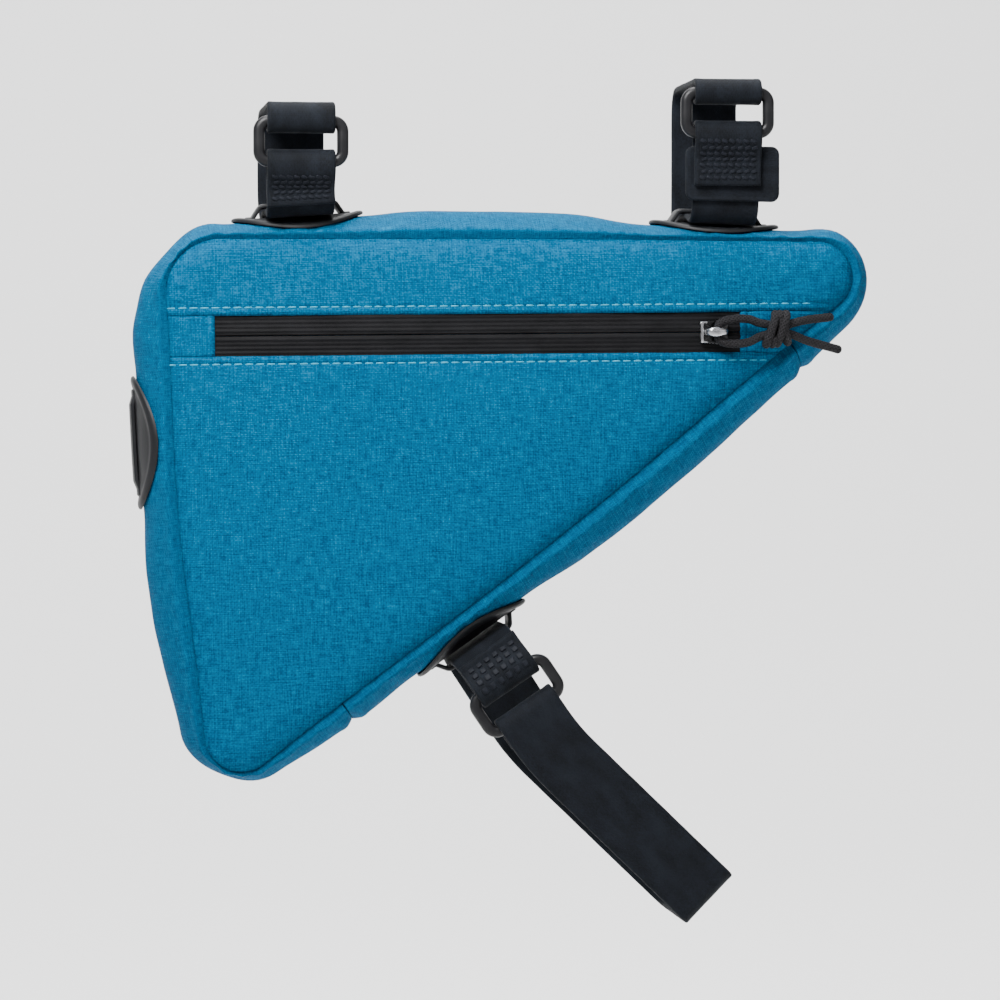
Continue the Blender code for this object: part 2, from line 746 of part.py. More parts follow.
def make_ring(row):
    """Rectangular ring whose long bars the strap folds round."""
    name = "ring_" + row["name"]
    middle = -(row["face"] + WRAP)
    path = rounded_rectangle(RING_LENGTH - RING_BAR, BARS_APART, RING_CORNER)
    sections = []
    for index, (across, up) in enumerate(path):
        before = path[index - 1]
        after = path[(index + 1) % len(path)]
        na, nu = rotated(*unit(after[0] - before[0], after[1] - before[1]), -math.pi / 2)
        section = []
        for angle in spread(0, math.tau, 8)[:-1]:
            out = RING_BAR / 2 * math.cos(angle)
            y = middle + RING_BAR / 2 * math.sin(angle)
            section.append(strap_point(row, row["ring_up"] + up + nu * out, across + na * out, y))
        sections.append(section)
    new_object(name, skin(name, sections, closed=True), PLASTIC)


def make_keeper(row):
    """Tab that the front top strap's free end lies on."""
    bm = bmesh.new()
    near = -(row["face"] + STRAP / 2 + GAP)
    layers = []
    for y in (near, near - KEEPER):
        layer = []
        for across, up in rounded_rectangle(KEEPER_LENGTH, KEEPER_HEIGHT, 2.4):
            point = strap_point(row, KEEPER_UP + up, KEEPER_SHIFT + across, y)
            layer.append(bm.verts.new(point * MM))
        bm.faces.new(layer)
        layers.append(layer)
    count = len(layers[0])
    for j in range(count):
        k = (j + 1) % count
        bm.faces.new((layers[0][j], layers[0][k], layers[1][k], layers[1][j]))
    new_object("keeper_tab", mesh_from(bm, "keeper_tab"), WEBBING)


def main():
    for old in list(bpy.data.objects):
        bpy.data.objects.remove(old, do_unlink=True)
    join_tip = place_at("down", JOIN_NEAR_TIP)
    whole_side = side_straight(1) + corner_tangent(1) + corner_tangent(2)
    join_foot = place_at("down", whole_side - JOIN_NEAR_FOOT)
    half_join = GAP / 2 / mm_per_place(1)
    make_gusset("gusset_down", join_tip + half_join, join_foot - half_join)
    make_gusset("gusset_main", join_foot + half_join, join_tip - half_join + 3)
    new_object("back_panel", panel_sheet("back_panel", 1), CLOTH)
    make_front_panels()
    make_zip()
    make_pull()
    for anchor in ANCHORS:
        make_anchor(*anchor)
    for row in STRAPS:
        make_strap(row)
        make_ring(row)
        if row["keeper"]:
            make_keeper(row)


main()
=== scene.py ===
"""Looks of the triangular bicycle frame bag: woven cloth, zip, knotted cord pull, strap loops and stitching.

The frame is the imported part's: +X forward, +Y away from the viewer, +Z up, origin on the top tube's axis.
Lengths are in millimetres until MM turns them to metres.
"""

import math
from collections import namedtuple

import bmesh
import bpy
import numpy as np
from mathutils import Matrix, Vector, noise


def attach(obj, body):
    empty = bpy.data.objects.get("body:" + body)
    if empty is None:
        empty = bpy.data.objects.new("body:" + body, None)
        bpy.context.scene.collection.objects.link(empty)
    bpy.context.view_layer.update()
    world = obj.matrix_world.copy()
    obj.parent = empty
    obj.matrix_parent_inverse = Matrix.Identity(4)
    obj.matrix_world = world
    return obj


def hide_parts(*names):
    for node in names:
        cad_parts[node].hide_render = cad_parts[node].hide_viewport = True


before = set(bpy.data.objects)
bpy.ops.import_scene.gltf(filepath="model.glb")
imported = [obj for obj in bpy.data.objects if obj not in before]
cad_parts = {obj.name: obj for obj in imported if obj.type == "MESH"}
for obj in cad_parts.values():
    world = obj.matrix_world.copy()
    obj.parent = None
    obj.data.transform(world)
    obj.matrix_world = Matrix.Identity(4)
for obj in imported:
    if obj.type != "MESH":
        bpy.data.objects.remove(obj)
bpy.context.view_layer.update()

MM = 0.001

# Seam triangle, from sharp corner to sharp corner
TOP_LENGTH = 229.6
DROP = 169.9
REAR_LEAN = 14.6
REAR_RADIUS = 16.5
TIP_RADIUS = 10.6
FOOT_RADIUS = 11.0
TOP_BOW = 0.4
DOWN_BOW = 2.0
REAR_BOW = 2.0
AXIS_ABOVE_SEAM = 23.4

# Shell
SEAM_DEPTH = 40.0
GAP = 0.3
PANEL_RISE = 4.4
JOIN_NEAR_TIP = 50.0
JOIN_NEAR_FOOT = 50.0

# Zip
ZIP_LENGTH = 158.0
ZIP_HEIGHT = 12.1
ZIP_SLOPE = 0.6
ZIP_FROM_REAR = 16.1
ZIP_BELOW_SEAM = 29.2
TAPE_RECESS = 0.9
SLIDER_LENGTH = 8.8
SLIDER_WIDTH = 7.4
SLIDER_BODY = 2.2
SLIDER_FROM_END = 7.6
BAIL_BAR = 1.1
BAIL_WIDTH = 3.0
CORD = 2.6

# Strap anchors
ANCHOR_LENGTH = 40.0
ANCHOR_WIDTH = 34.0
ANCHOR_PLATE = 1.3
ANCHOR_GAP = 0.4
BRIDGE = 1.4
BRIDGE_WIDTH = 10.0
EMPTY_WAY = 0.5
ANCHOR_DENT = 1.6
DENT_REACH = 22.0
REAR_ANCHOR_UP = 110.0
DOWN_ANCHOR_FROM_TIP = 180.0

# Straps and rings
STRAP_SPACING = 128.0
STRAP_SETBACK = 42.0
STRAP_WIDTH = 20.4
STRAP = 1.8
RING_LENGTH = 28.5
RING_HEIGHT = 15.5
RING_BAR = 3.5
RING_CORNER = 3.0
TOP_TUBE_WIDTH = 37.0
DOWN_TUBE_WIDTH = 46.0
DOWN_RING_FACE = 19.5
SEAT_EDGE = 15.0
SEAT_DIP = 1.9
KEEPER_LENGTH = 28.6
KEEPER_HEIGHT = 16.5
KEEPER = 1.4
KEEPER_SHIFT = 1.8
KEEPER_UP = 15.5

CORNER_SPAN = 0.12
SEAM_HALF = SEAM_DEPTH / 2
REAR_X = -STRAP_SPACING / 2 - STRAP_SETBACK
BOWS = (TOP_BOW, DOWN_BOW, REAR_BOW)

# How far the gusset swells beyond the seam: place round the bag (0 rear corner, 1 front tip, 2 foot),
# and the swell as a share of half the seam depth
Station = namedtuple("Station", "place swell")
SWELL = (
    Station(0.00, 0.18), Station(0.12, 0.31), Station(0.25, 0.44), Station(0.45, 0.45),
    Station(0.66, 0.34), Station(0.88, 0.27), Station(1.00, 0.36), Station(1.12, 0.44),
    Station(1.25, 0.56), Station(1.38, 0.60), Station(1.52, 0.56), Station(1.68, 0.50),
    Station(1.80, 0.40), Station(1.90, 0.24), Station(2.00, 0.12), Station(2.12, 0.31),
    Station(2.32, 0.50), Station(2.60, 0.55), Station(2.80, 0.54), Station(2.92, 0.30),
)

Corner = namedtuple("Corner", "x z radius")
CORNERS = (
    Corner(REAR_X, -AXIS_ABOVE_SEAM, REAR_RADIUS),
    Corner(REAR_X + TOP_LENGTH, -AXIS_ABOVE_SEAM, TIP_RADIUS),
    Corner(REAR_X + REAR_LEAN, -AXIS_ABOVE_SEAM - DROP, FOOT_RADIUS),
)
SIDES = {"top": 0, "down": 1, "rear": 2}

# Where each anchor sits along its side of the bag, and the height of the way under its bridge
Anchor = namedtuple("Anchor", "name side along way")
ANCHORS = (
    Anchor("anchor_top_rear", "top", STRAP_SETBACK, STRAP),
    Anchor("anchor_top_front", "top", STRAP_SETBACK + STRAP_SPACING, STRAP),
    Anchor("anchor_down", "down", DOWN_ANCHOR_FROM_TIP, STRAP),
    Anchor("anchor_rear", "rear", REAR_ANCHOR_UP, EMPTY_WAY),
)


def spread(start, end, steps):
    return [start + (end - start) * index / steps for index in range(steps + 1)]


def unit(x, z):
    length = math.hypot(x, z)
    return x / length, z / length


def side_direction(side):
    a = CORNERS[side % 3]
    b = CORNERS[(side + 1) % 3]
    return unit(b.x - a.x, b.z - a.z)


def corner_turn(index):
    """Angle by which the outline turns at a corner, clockwise as the viewer sees it."""
    ax, az = side_direction(index - 1)
    bx, bz = side_direction(index)
    return math.acos(ax * bx + az * bz)


def corner_tangent(index):
    """Length of side that a corner's arc takes up."""
    corner = CORNERS[index % 3]
    return corner.radius * math.tan(corner_turn(index) / 2)


def side_straight(side):
    a = CORNERS[side % 3]
    b = CORNERS[(side + 1) % 3]
    whole = math.hypot(b.x - a.x, b.z - a.z)
    return whole - corner_tangent(side) - corner_tangent(side + 1)


def mm_per_place(side):
    return side_straight(side) / (1 - 2 * CORNER_SPAN)


def place_at(side, distance):
    """Place on a named side at a distance from the side's first sharp corner."""
    side = SIDES[side]
    return side + CORNER_SPAN + (distance - corner_tangent(side)) / mm_per_place(side)


def rotated(x, z, angle):
    c = math.cos(angle)
    s = math.sin(angle)
    return x * c - z * s, x * s + z * c


def seam_frame(place):
    """Point of the seam line and its outward normal, as x, z, normal x, normal z."""
    nearest = round(place)
    offset = place - nearest
    if abs(offset) < CORNER_SPAN:
        index = nearest % 3
        corner = CORNERS[index]
        dx, dz = side_direction(index - 1)
        tangent = corner_tangent(index)
        start_x = corner.x - dx * tangent
        start_z = corner.z - dz * tangent
        turned = corner_turn(index) * (offset + CORNER_SPAN) / (2 * CORNER_SPAN)
        nx, nz = rotated(-dz, dx, -turned)
        centre_x = start_x + dz * corner.radius
        centre_z = start_z - dx * corner.radius
        return centre_x + nx * corner.radius, centre_z + nz * corner.radius, nx, nz
    side = math.floor(place)
    share = (place - side - CORNER_SPAN) / (1 - 2 * CORNER_SPAN)
    corner = CORNERS[side % 3]
    dx, dz = side_direction(side)
    straight = side_straight(side)
    run = corner_tangent(side) + straight * share
    bow = BOWS[side % 3] * math.sin(math.pi * share) ** 2
    tilt = BOWS[side % 3] * math.pi * math.sin(2 * math.pi * share) / straight
    nx, nz = unit(-dz - dx * tilt, dx - dz * tilt)
    return corner.x + dx * run - dz * bow, corner.z + dz * run + dx * bow, nx, nz


def from_anchor(place, anchor):
    """Distance along the gusset from the middle of an anchor to a place."""
    middle = place_at(anchor.side, anchor.along)
    return ((place - middle + 1.5) % 3 - 1.5) * mm_per_place(SIDES[anchor.side])


def swell_curve(place):
    """Swell of the gusset beyond the seam, as a smooth curve through the stations."""
    place = place % 3
    count = len(SWELL)
    after = count
    for index, station in enumerate(SWELL):
        if station.place > place:
            after = index
            break
    values = [SWELL[(after + step) % count].swell for step in (-2, -1, 0, 1)]
    low = SWELL[after - 1].place
    high = SWELL[after].place if after < count else 3.0
    t = (place - low) / (high - low)
    smooth = 0.5 * (
        2 * values[1]
        + (values[2] - values[0]) * t
        + (2 * values[0] - 5 * values[1] + 4 * values[2] - values[3]) * t ** 2
        + (3 * values[1] - values[0] - 3 * values[2] + values[3]) * t ** 3
    )
    return smooth * SEAM_HALF


def swell_at(place):
    """Swell with a flat, slightly dented seat under each strap anchor."""
    swell = swell_curve(place)
    for anchor in ANCHORS:
        away = from_anchor(place, anchor)
        beyond = (abs(away) - ANCHOR_LENGTH / 2 - GAP) / DENT_REACH
        if beyond >= 1:
            continue
        middle = place_at(anchor.side, anchor.along)
        reach = ANCHOR_LENGTH / 2 / mm_per_place(SIDES[anchor.side])
        before = swell_curve(middle - reach)
        after = swell_curve(middle + reach)
        seat = (before + after) / 2 + (after - before) * away / ANCHOR_LENGTH - ANCHOR_DENT
        hold = 0.5 + 0.5 * math.cos(math.pi * max(beyond, 0.0))
        swell += (seat - swell) * hold
    return swell


def crown(share):
    """Cross-section of the gusset: 1 along its middle, 0 at either seam."""
    return max(0.0, 1 - abs(share) ** 2.2) ** 0.75


def wall_point(place, share, height):
    """Point above the gusset's outer face; share is -1 at the front seam and 1 at the back one."""
    x, z, nx, nz = seam_frame(place)
    out = GAP / 2 + swell_at(place) * crown(share) + height
    return Vector((x + nx * out, SEAM_HALF * share, z + nz * out))


# Cloth relief: heights and depths, lengths that they die away in, and sizes or pitches of what repeats
DOME_LENGTH = 12.0
SEAM_ROLL = 2.1
SEAM_ROLL_LENGTH = 1.9
SEAM_PUCKER = 0.2
PUCKER_PITCH = 7.3
SEAM_TUCK = 0.12
SLACK = 0.75
SLACK_SIZE = 42
WRINKLE = 0.14
WRINKLE_SIZE = 9
LIP_ROLL = 0.7
LIP_LENGTH = 0.9
EDGE_RIDGE = 0.16
STITCH_FROM_ZIP = 2.4
STITCH_GROOVE = 0.3
STITCH_PULL = 0.07
STITCH_WAVE = 3.3
GUSSET_ROLL = 1.3
GUSSET_SLACK = 0.55
GUSSET_SLACK_SIZE = 34
GUSSET_WRINKLE = 0.20
GUSSET_WRINKLE_SIZE = 10
GUSSET_PUCKER = 0.24
GUSSET_PUCKER_PITCH = 8.1
CORNER_GATHER = 0.28
CORNER_GATHER_PITCH = 4.6
CORNER_REACH = 0.2
END_TUCK = 1.15
END_RIDGE = 0.25
UPPER_SEED = 1.7
LOWER_SEED = 5.2
BACK_SEED = 8.4

# Domed ends of a tube: share of the section, push out as a share of the end's reach, and the map's steps
DOME_STEPS = ((0.8, 0.55), (0.45, 0.9), (0.02, 1.0))
DOME_RUNS = (0.5, 0.8, 0.9)


def outline_table(count=900):
    """Seam line as arrays: points, outward normals and distance along it."""
    rows = np.array([seam_frame(3 * index / count) for index in range(count)])
    steps = np.hypot(np.diff(rows[:, 0], append=rows[0, 0]), np.diff(rows[:, 1], append=rows[0, 1]))
    arc = np.concatenate(([0.0], np.cumsum(steps)[:-1]))
    return rows, arc


OUTLINE, OUTLINE_ARC = outline_table()


def seam_distance(x, z):
    """Distance inwards from the seam line, and the distance along the line of its nearest point."""
    x = np.atleast_1d(np.asarray(x, float)).ravel()
    z = np.atleast_1d(np.asarray(z, float)).ravel()
    inside = np.empty(len(x))
    along = np.empty(len(x))
    for start in range(0, len(x), 4000):
        part = slice(start, start + 4000)
        gaps = (x[part, None] - OUTLINE[:, 0]) ** 2 + (z[part, None] - OUTLINE[:, 1]) ** 2
        nearest = gaps.argmin(1)
        row = OUTLINE[nearest]
        inside[part] = -((x[part] - row[:, 0]) * row[:, 2] + (z[part] - row[:, 1]) * row[:, 3])
        along[part] = OUTLINE_ARC[nearest]
    return inside, along


def smoothstep(low, high, value):
    t = np.clip((value - low) / (high - low), 0, 1)
    return t * t * (3 - 2 * t)


def bell(value, middle, width):
    """Smooth bump: 1 at the middle, dying away over a width."""
    return np.exp(-((value - middle) / width) ** 2)


def panel_rise(x, z):
    """Rise of a panel above the seam plane: a soft dome with no hips towards the corners."""
    x = np.asarray(x, float).ravel()
    z = np.asarray(z, float).ravel()
    inside, _ = seam_distance(x, z)
    near = 1 - np.exp(-np.clip(inside, 0, None) / DOME_LENGTH)
    far = np.ones_like(x)
    for side in range(3):
        dx, dz = side_direction(side)
        corner = CORNERS[side]
        from_side = (x - corner.x) * dz - (z - corner.z) * dx
        far -= np.exp(-from_side / DOME_LENGTH)
    return PANEL_RISE * (near + (far - near) * smoothstep(4, 18, inside))


def panel_face(x, z):
    return SEAM_HALF + float(panel_rise([x], [z])[0])


def zip_plane(u, v):
    """X and Z of a point given along and across the zip."""
    x, z = rotated(u, v, math.radians(ZIP_SLOPE))
    return x + REAR_X + ZIP_FROM_REAR, z - AXIS_ABOVE_SEAM - ZIP_BELOW_SEAM


def zip_point(u, v, lift):
    x, z = zip_plane(u, v)
    return Vector((x, -panel_face(x, z) - lift, z))


def wander(x, z, scale, seed):
    """Smooth noise from -1 to 1 over a plane; scale is the size of its features."""
    return np.array([noise.noise(Vector((a / scale, b / scale, seed))) for a, b in zip(x, z)])


class Surface:
    """Gathers grids of points, with a map in millimetres for the weave, into one mesh."""

    def __init__(self):
        self.points = []
        self.faces = []
        self.maps = []
        self.finishes = []

    def grid(self, rows, maps, wrap=False, finish=0, centre=None):
        """Adds a grid. With wrap, each row closes on itself and its map has one more column."""
        base = len(self.points)
        height = len(rows)
        width = len(rows[0])
        cells = np.arange(height * width).reshape(height, width)
        places = np.array([tuple(point) for row in rows for point in row], float)
        charts = np.array([tuple(pair) for row in maps for pair in row], float).reshape(height, -1, 2)
        ahead = np.roll(cells, -1, axis=1) if wrap else cells[:, 1:]
        here = cells if wrap else cells[:, :-1]
        quads = np.stack((here[:-1], here[1:], ahead[1:], ahead[:-1]), -1).reshape(-1, 4)
        chart = np.stack((charts[:-1, :-1], charts[1:, :-1], charts[1:, 1:], charts[:-1, 1:]), -2)
        chart = chart.reshape(-1, 4, 2)
        middle = places.mean(0) if centre is None else np.array(centre, float)
        corners = places[quads]
        normals = np.cross(corners[:, 2] - corners[:, 0], corners[:, 3] - corners[:, 1])
        if ((corners.mean(1) - middle) * normals).sum() < 0:
            quads = quads[:, ::-1]
            chart = chart[:, ::-1]
        self.points.extend(places.tolist())
        self.faces.extend((quads + base).tolist())
        self.maps.extend(chart.tolist())
        self.finishes.extend([finish] * len(quads))

    def tube(self, path, sections):
        """Adds a closed tube of given sections with domed ends; path is its middle line."""
        lengths = [0.0]
        for before, after in zip(path, path[1:]):
            lengths.append(lengths[-1] + (after - before).length)
        around = [0.0]
        middle_section = sections[len(sections) // 2]
        for here, there in zip(middle_section, middle_section[1:] + middle_section[:1]):
            around.append(around[-1] + (there - here).length)
        rows = list(sections)
        for end, back in ((0, 1), (-1, -2)):
            middle = path[end]
            out = (path[end] - path[back]).normalized()
            spokes = [point - middle for point in sections[end]]
            reach = min(spoke.length for spoke in spokes) * 0.7
            caps = []
            for share, push in DOME_STEPS:
                caps.append([middle + spoke * share + out * reach * push for spoke in spokes])
            if end == 0:
                rows = caps[::-1] + rows
                lengths = [-reach * step for step in DOME_RUNS[::-1]] + lengths
            else:
                rows = rows + caps
                lengths = lengths + [lengths[-1] + reach * step for step in DOME_RUNS]
        self.grid(rows, [[(length, turn) for turn in around] for length in lengths], wrap=True)

    def build(self, name, materials, replaces, smooth_angle=60.0, merge=0.0):
        made = bpy.data.meshes.new(name)
        made.from_pydata([[value * MM for value in point] for point in self.points], [], self.faces)
        layer = made.uv_layers.new(name="weave")
        layer.uv.foreach_set("vector", np.array(self.maps, float).ravel())
        made.polygons.foreach_set("material_index", self.finishes)
        for finish in materials:
            made.materials.append(finish)
        if merge:
            bm = bmesh.new()
            bm.from_mesh(made)
            bmesh.ops.remove_doubles(bm, verts=bm.verts[:], dist=merge * MM)
            bm.to_mesh(made)
            bm.free()
        made.shade_smooth()
        made.set_sharp_from_angle(angle=math.radians(smooth_angle))
        piece = bpy.data.objects.new(name, made)
        bpy.context.scene.collection.objects.link(piece)
        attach(piece, "root")
        if replaces:
            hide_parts(*replaces)
        return piece


def fillet_path(corners, step=math.radians(30)):
    """Path through corners given as (a, b, radius), with each corner rounded by its radius."""
    path = []
    for index, (a, b, radius) in enumerate(corners):
        if index in (0, len(corners) - 1) or radius == 0:
            path.append((a, b))
            continue
        back = unit(corners[index - 1][0] - a, corners[index - 1][1] - b)
        ahead = unit(corners[index + 1][0] - a, corners[index + 1][1] - b)
        turn = math.pi - math.acos(max(-1.0, min(1.0, back[0] * ahead[0] + back[1] * ahead[1])))
        if turn < 1e-3:
            continue
        tangent = radius * math.tan(turn / 2)
        start = (a + back[0] * tangent, b + back[1] * tangent)
        side = 1 if back[0] * ahead[1] - back[1] * ahead[0] < 0 else -1
        inward = rotated(back[0], back[1], -side * math.pi / 2)
        centre = (start[0] + inward[0] * radius, start[1] + inward[1] * radius)
        for angle in spread(0, turn, max(2, round(turn / step))):
            spoke = rotated(start[0] - centre[0], start[1] - centre[1], side * angle)
            path.append((centre[0] + spoke[0], centre[1] + spoke[1]))
    clean = [path[0]]
    for point in path[1:]:
        if math.dist(point, clean[-1]) > 1e-3:
            clean.append(point)
    return clean


# Materials

YARN = 0.62


class Nodes:
    """Short way to write a material's node tree."""

    def __init__(self, name):
        self.material = bpy.data.materials.new(name)
        self.material.use_nodes = True
        self.tree = self.material.node_tree
        self.shader = self.tree.nodes["Principled BSDF"]

    def add(self, kind, settings=None, **inputs):
        node = self.tree.nodes.new(kind)
        for key, value in (settings or {}).items():
            setattr(node, key, value)
        for key, value in inputs.items():
            self.feed(node, key, value)
        return node

    def feed(self, node, key, value):
        socket = node.inputs[int(key[1:])] if key[0] == "i" and key[1:].isdigit() else node.inputs[key]
        if isinstance(value, bpy.types.NodeSocket):
            self.tree.links.new(value, socket)
        else:
            socket.default_value = value

    def math(self, operation, first, second=0.0):
        return self.add("ShaderNodeMath", {"operation": operation}, i0=first, i1=second).outputs[0]

    def scaled(self, value, gain, offset):
        node = self.add("ShaderNodeMath", {"operation": "MULTIPLY_ADD"}, i0=value, i1=gain, i2=offset)
        return node.outputs[0]

    def blend(self, first, share, second, other_share):
        """Two values added, each times its share."""
        other = self.math("MULTIPLY", second, other_share)
        return self.math("ADD", self.math("MULTIPLY", first, share), other)

    def wave(self, value, length):
        """Sine that repeats once in a length."""
        return self.math("SINE", self.math("MULTIPLY", value, math.tau / length))

    def map_axes(self):
        """The weave map's distances along and across, in millimetres."""
        source = self.add("ShaderNodeUVMap", {"uv_map": "weave"}).outputs[0]
        split = self.add("ShaderNodeSeparateXYZ", Vector=source)
        return split.outputs[0], split.outputs[1]

    def chart(self, along=1.0, across=1.0, shift=0.0):
        """The weave map in millimetres, scaled along and across."""
        source = self.add("ShaderNodeUVMap", {"uv_map": "weave"}).outputs[0]
        mapping = self.add("ShaderNodeMapping", Vector=source)
        mapping.inputs["Scale"].default_value = (along, across, 1.0)
        mapping.inputs["Location"].default_value = (shift, shift * 0.7, 0.0)
        return mapping.outputs[0]

    def noise(self, vector, scale=1.0, detail=2.0, roughness=0.5):
        node = self.add("ShaderNodeTexNoise", {"noise_dimensions": "2D"}, Vector=vector)
        node.inputs["Scale"].default_value = scale
        node.inputs["Detail"].default_value = detail
        node.inputs["Roughness"].default_value = roughness
        return node.outputs[0]

    def ramp(self, factor, stops):
        node = self.add("ShaderNodeValToRGB", Fac=factor)
        elements = node.color_ramp.elements
        while len(elements) < len(stops):
            elements.new(0.5)
        for element, (place, colour) in zip(elements, stops):
            element.position = place
            element.color = (*colour, 1.0)
        return node.outputs[0]

    def mix(self, factor, first, second, blend="MIX"):
        node = self.add("ShaderNodeMix", {"data_type": "RGBA", "blend_type": blend})
        self.feed(node, "Factor", factor)
        for index, value in ((6, first), (7, second)):
            if isinstance(value, bpy.types.NodeSocket):
                self.tree.links.new(value, node.inputs[index])
            else:
                node.inputs[index].default_value = (*value, 1.0)
        return node.outputs[2]

    def yarns(self, pitch):
        """Plain weave: yarn height from 0 to 1, and 1 where the yarn along the map is on top."""
        along, across = [self.math("DIVIDE", distance, pitch) for distance in self.map_axes()]
        cells = self.math("ADD", self.math("FLOOR", along), self.math("FLOOR", across))
        over = self.math("FLOORED_MODULO", cells, 2.0)
        ridge_along = self.math("ABSOLUTE", self.wave(across, 2.0))
        ridge_across = self.math("ABSOLUTE", self.wave(along, 2.0))
        rest = self.math("MULTIPLY", ridge_across, self.math("SUBTRACT", 1.0, over))
        height = self.math("ADD", self.math("MULTIPLY", ridge_along, over), rest)
        return height, over

    def finish(self, colour, roughness, bump=None, strength=0.5, distance=0.0002, **constants):
        self.feed(self.shader, "Base Color", colour)
        self.feed(self.shader, "Roughness", roughness)
        if bump is not None:
            node = self.add("ShaderNodeBump", Height=bump)
            node.inputs["Strength"].default_value = strength
            node.inputs["Distance"].default_value = distance
            self.tree.links.new(node.outputs[0], self.shader.inputs["Normal"])
        for key, value in constants.items():
            self.shader.inputs[key.replace("_", " ")].default_value = value
        return self.material


def cloth_material():
    """Blue two-tone plain weave with uneven yarns."""
    nodes = Nodes("blue_weave")
    height, over = nodes.yarns(YARN)
    weft_slubs = nodes.noise(nodes.chart(0.24, 2.1), 1.0, 2.0, 0.7)
    warp_slubs = nodes.noise(nodes.chart(2.1, 0.20, 31.0), 1.0, 2.0, 0.7)
    tone = nodes.blend(weft_slubs, 0.5, warp_slubs, 0.5)
    tone = nodes.math("ADD", tone, nodes.math("MULTIPLY", nodes.math("SUBTRACT", over, 0.5), 0.05))
    colour = nodes.ramp(tone, (
        (0.34, (0.000, 0.038, 0.094)), (0.45, (0.000, 0.058, 0.132)),
        (0.54, (0.000, 0.077, 0.166)), (0.68, (0.000, 0.117, 0.230)),
    ))
    shade = nodes.ramp(nodes.noise(nodes.chart(0.03, 0.03, 7.0), 1.0, 2.0), (
        (0.3, (0.94, 0.95, 0.96)), (0.7, (1.0, 1.0, 1.0)),
    ))
    colour = nodes.mix(1.0, colour, shade, "MULTIPLY")
    bump = nodes.math("ADD", height, nodes.math("MULTIPLY", weft_slubs, 1.3))
    return nodes.finish(colour, nodes.scaled(tone, 0.2, 0.62), bump, 0.7, 0.00016, Specular_IOR_Level=0.03)


def dark_weave(name, pitch, dark, light, roughness, strength, sheen, ribs=None):
    """Black webbing or tape: a fine weave, uneven nap and, where asked, ribs along it."""
    nodes = Nodes(name)
    height, _ = nodes.yarns(pitch)
    nap = nodes.noise(nodes.chart(1.1, 2.6), 1.0, 3.0, 0.7)
    mottle = nodes.noise(nodes.chart(0.10, 0.22, 5.0), 1.0, 3.0)
    colour = nodes.ramp(nodes.blend(nap, 0.6, mottle, 0.4), ((0.34, dark), (0.66, light)))
    bump = nodes.math("ADD", nodes.math("MULTIPLY", height, 0.7), nap)
    if ribs:
        bump = nodes.math("ADD", bump, nodes.wave(nodes.map_axes()[1], ribs))
    return nodes.finish(colour, nodes.scaled(nap, 0.25, roughness), bump, strength, 0.00012,
                        Sheen_Weight=sheen, Sheen_Roughness=0.45, Specular_IOR_Level=0.09)


def braid_material():
    """Round cord: crossing diagonal strands, with painted shade in the grooves between them."""
    nodes = Nodes("braided_cord")
    along, around = nodes.map_axes()
    strands = []
    for lean in (1.05, -1.05):
        slant = nodes.math("ADD", along, nodes.math("MULTIPLY", around, lean))
        strands.append(nodes.math("ABSOLUTE", nodes.wave(slant, 2.3)))
    height = nodes.math("MAXIMUM", *strands)
    fuzz = nodes.noise(nodes.chart(3.0, 3.0), 1.0, 3.0)
    # Colour follows strand height: painted shade darkens the grooves between strands, and the fuzz adds
    # random tone.
    tone = nodes.blend(height, 0.55, fuzz, 0.45)
    colour = nodes.ramp(tone, ((0.40, (0.002, 0.002, 0.0025)), (0.85, (0.017, 0.016, 0.018))))
    return nodes.finish(colour, 0.72, nodes.math("ADD", height, fuzz), 1.0, 0.0004, Specular_IOR_Level=0.15)


def moulded_material(name, dark, light, roughness, grain, strength, shine=0.2):
    """Moulded plastic or rubber: fine grain, handling sheen and slight colour drift."""
    nodes = Nodes(name)
    drift = nodes.noise(nodes.chart(0.15, 0.15, 3.0), 1.0, 3.0)
    colour = nodes.ramp(drift, ((0.3, dark), (0.7, light)))
    pores = nodes.noise(nodes.chart(grain, grain), 1.0, 3.0, 0.6)
    rough = nodes.scaled(drift, 0.2, roughness - 0.1)
    return nodes.finish(colour, rough, pores, strength, 0.00006, Specular_IOR_Level=shine)


def metal_material(name, dark, light):
    """Metal with fine brushed wear."""
    nodes = Nodes(name)
    brush = nodes.noise(nodes.chart(0.5, 6.0), 1.0, 3.0)
    colour = nodes.ramp(brush, ((0.3, dark), (0.7, light)))
    return nodes.finish(colour, nodes.scaled(brush, 0.25, 0.14), brush, 0.12, 0.00005, Metallic=1.0)


def thread_material():
    nodes = Nodes("pale_thread")
    ply = nodes.noise(nodes.chart(2.0, 2.0), 1.0, 2.0)
    colour = nodes.ramp(ply, ((0.3, (0.006, 0.16, 0.26)), (0.7, (0.03, 0.28, 0.42))))
    return nodes.finish(colour, 0.7, ply, 0.3, 0.0001, Specular_IOR_Level=0.06)


BLUE = cloth_material()
TAPE_CLOTH = dark_weave("zip_tape_weave", 0.35, (0.0015, 0.0016, 0.002), (0.006, 0.006, 0.007), 0.5, 0.4, 0.0,
                        ribs=1.3)
WEBBING = dark_weave("strap_webbing_weave", 0.5, (0.0015, 0.002, 0.003), (0.007, 0.009, 0.013), 0.6, 0.5,
                     0.02)
BRAID = braid_material()
RUBBER = moulded_material("anchor_rubber", (0.004, 0.0045, 0.0055), (0.009, 0.0095, 0.011), 0.5, 1.6, 0.35)
RING_PLASTIC = moulded_material("satin_plastic", (0.005, 0.005, 0.006), (0.009, 0.009, 0.010), 0.38, 1.2,
                                0.15)
GRIP = moulded_material("grip_dots", (0.006, 0.007, 0.010), (0.012, 0.014, 0.019), 0.60, 2.0, 0.2, 0.08)
METAL = metal_material("plated_metal", (0.30, 0.30, 0.31), (0.62, 0.62, 0.64))
DARK_METAL = metal_material("blackened_metal", (0.020, 0.020, 0.021), (0.060, 0.060, 0.062))
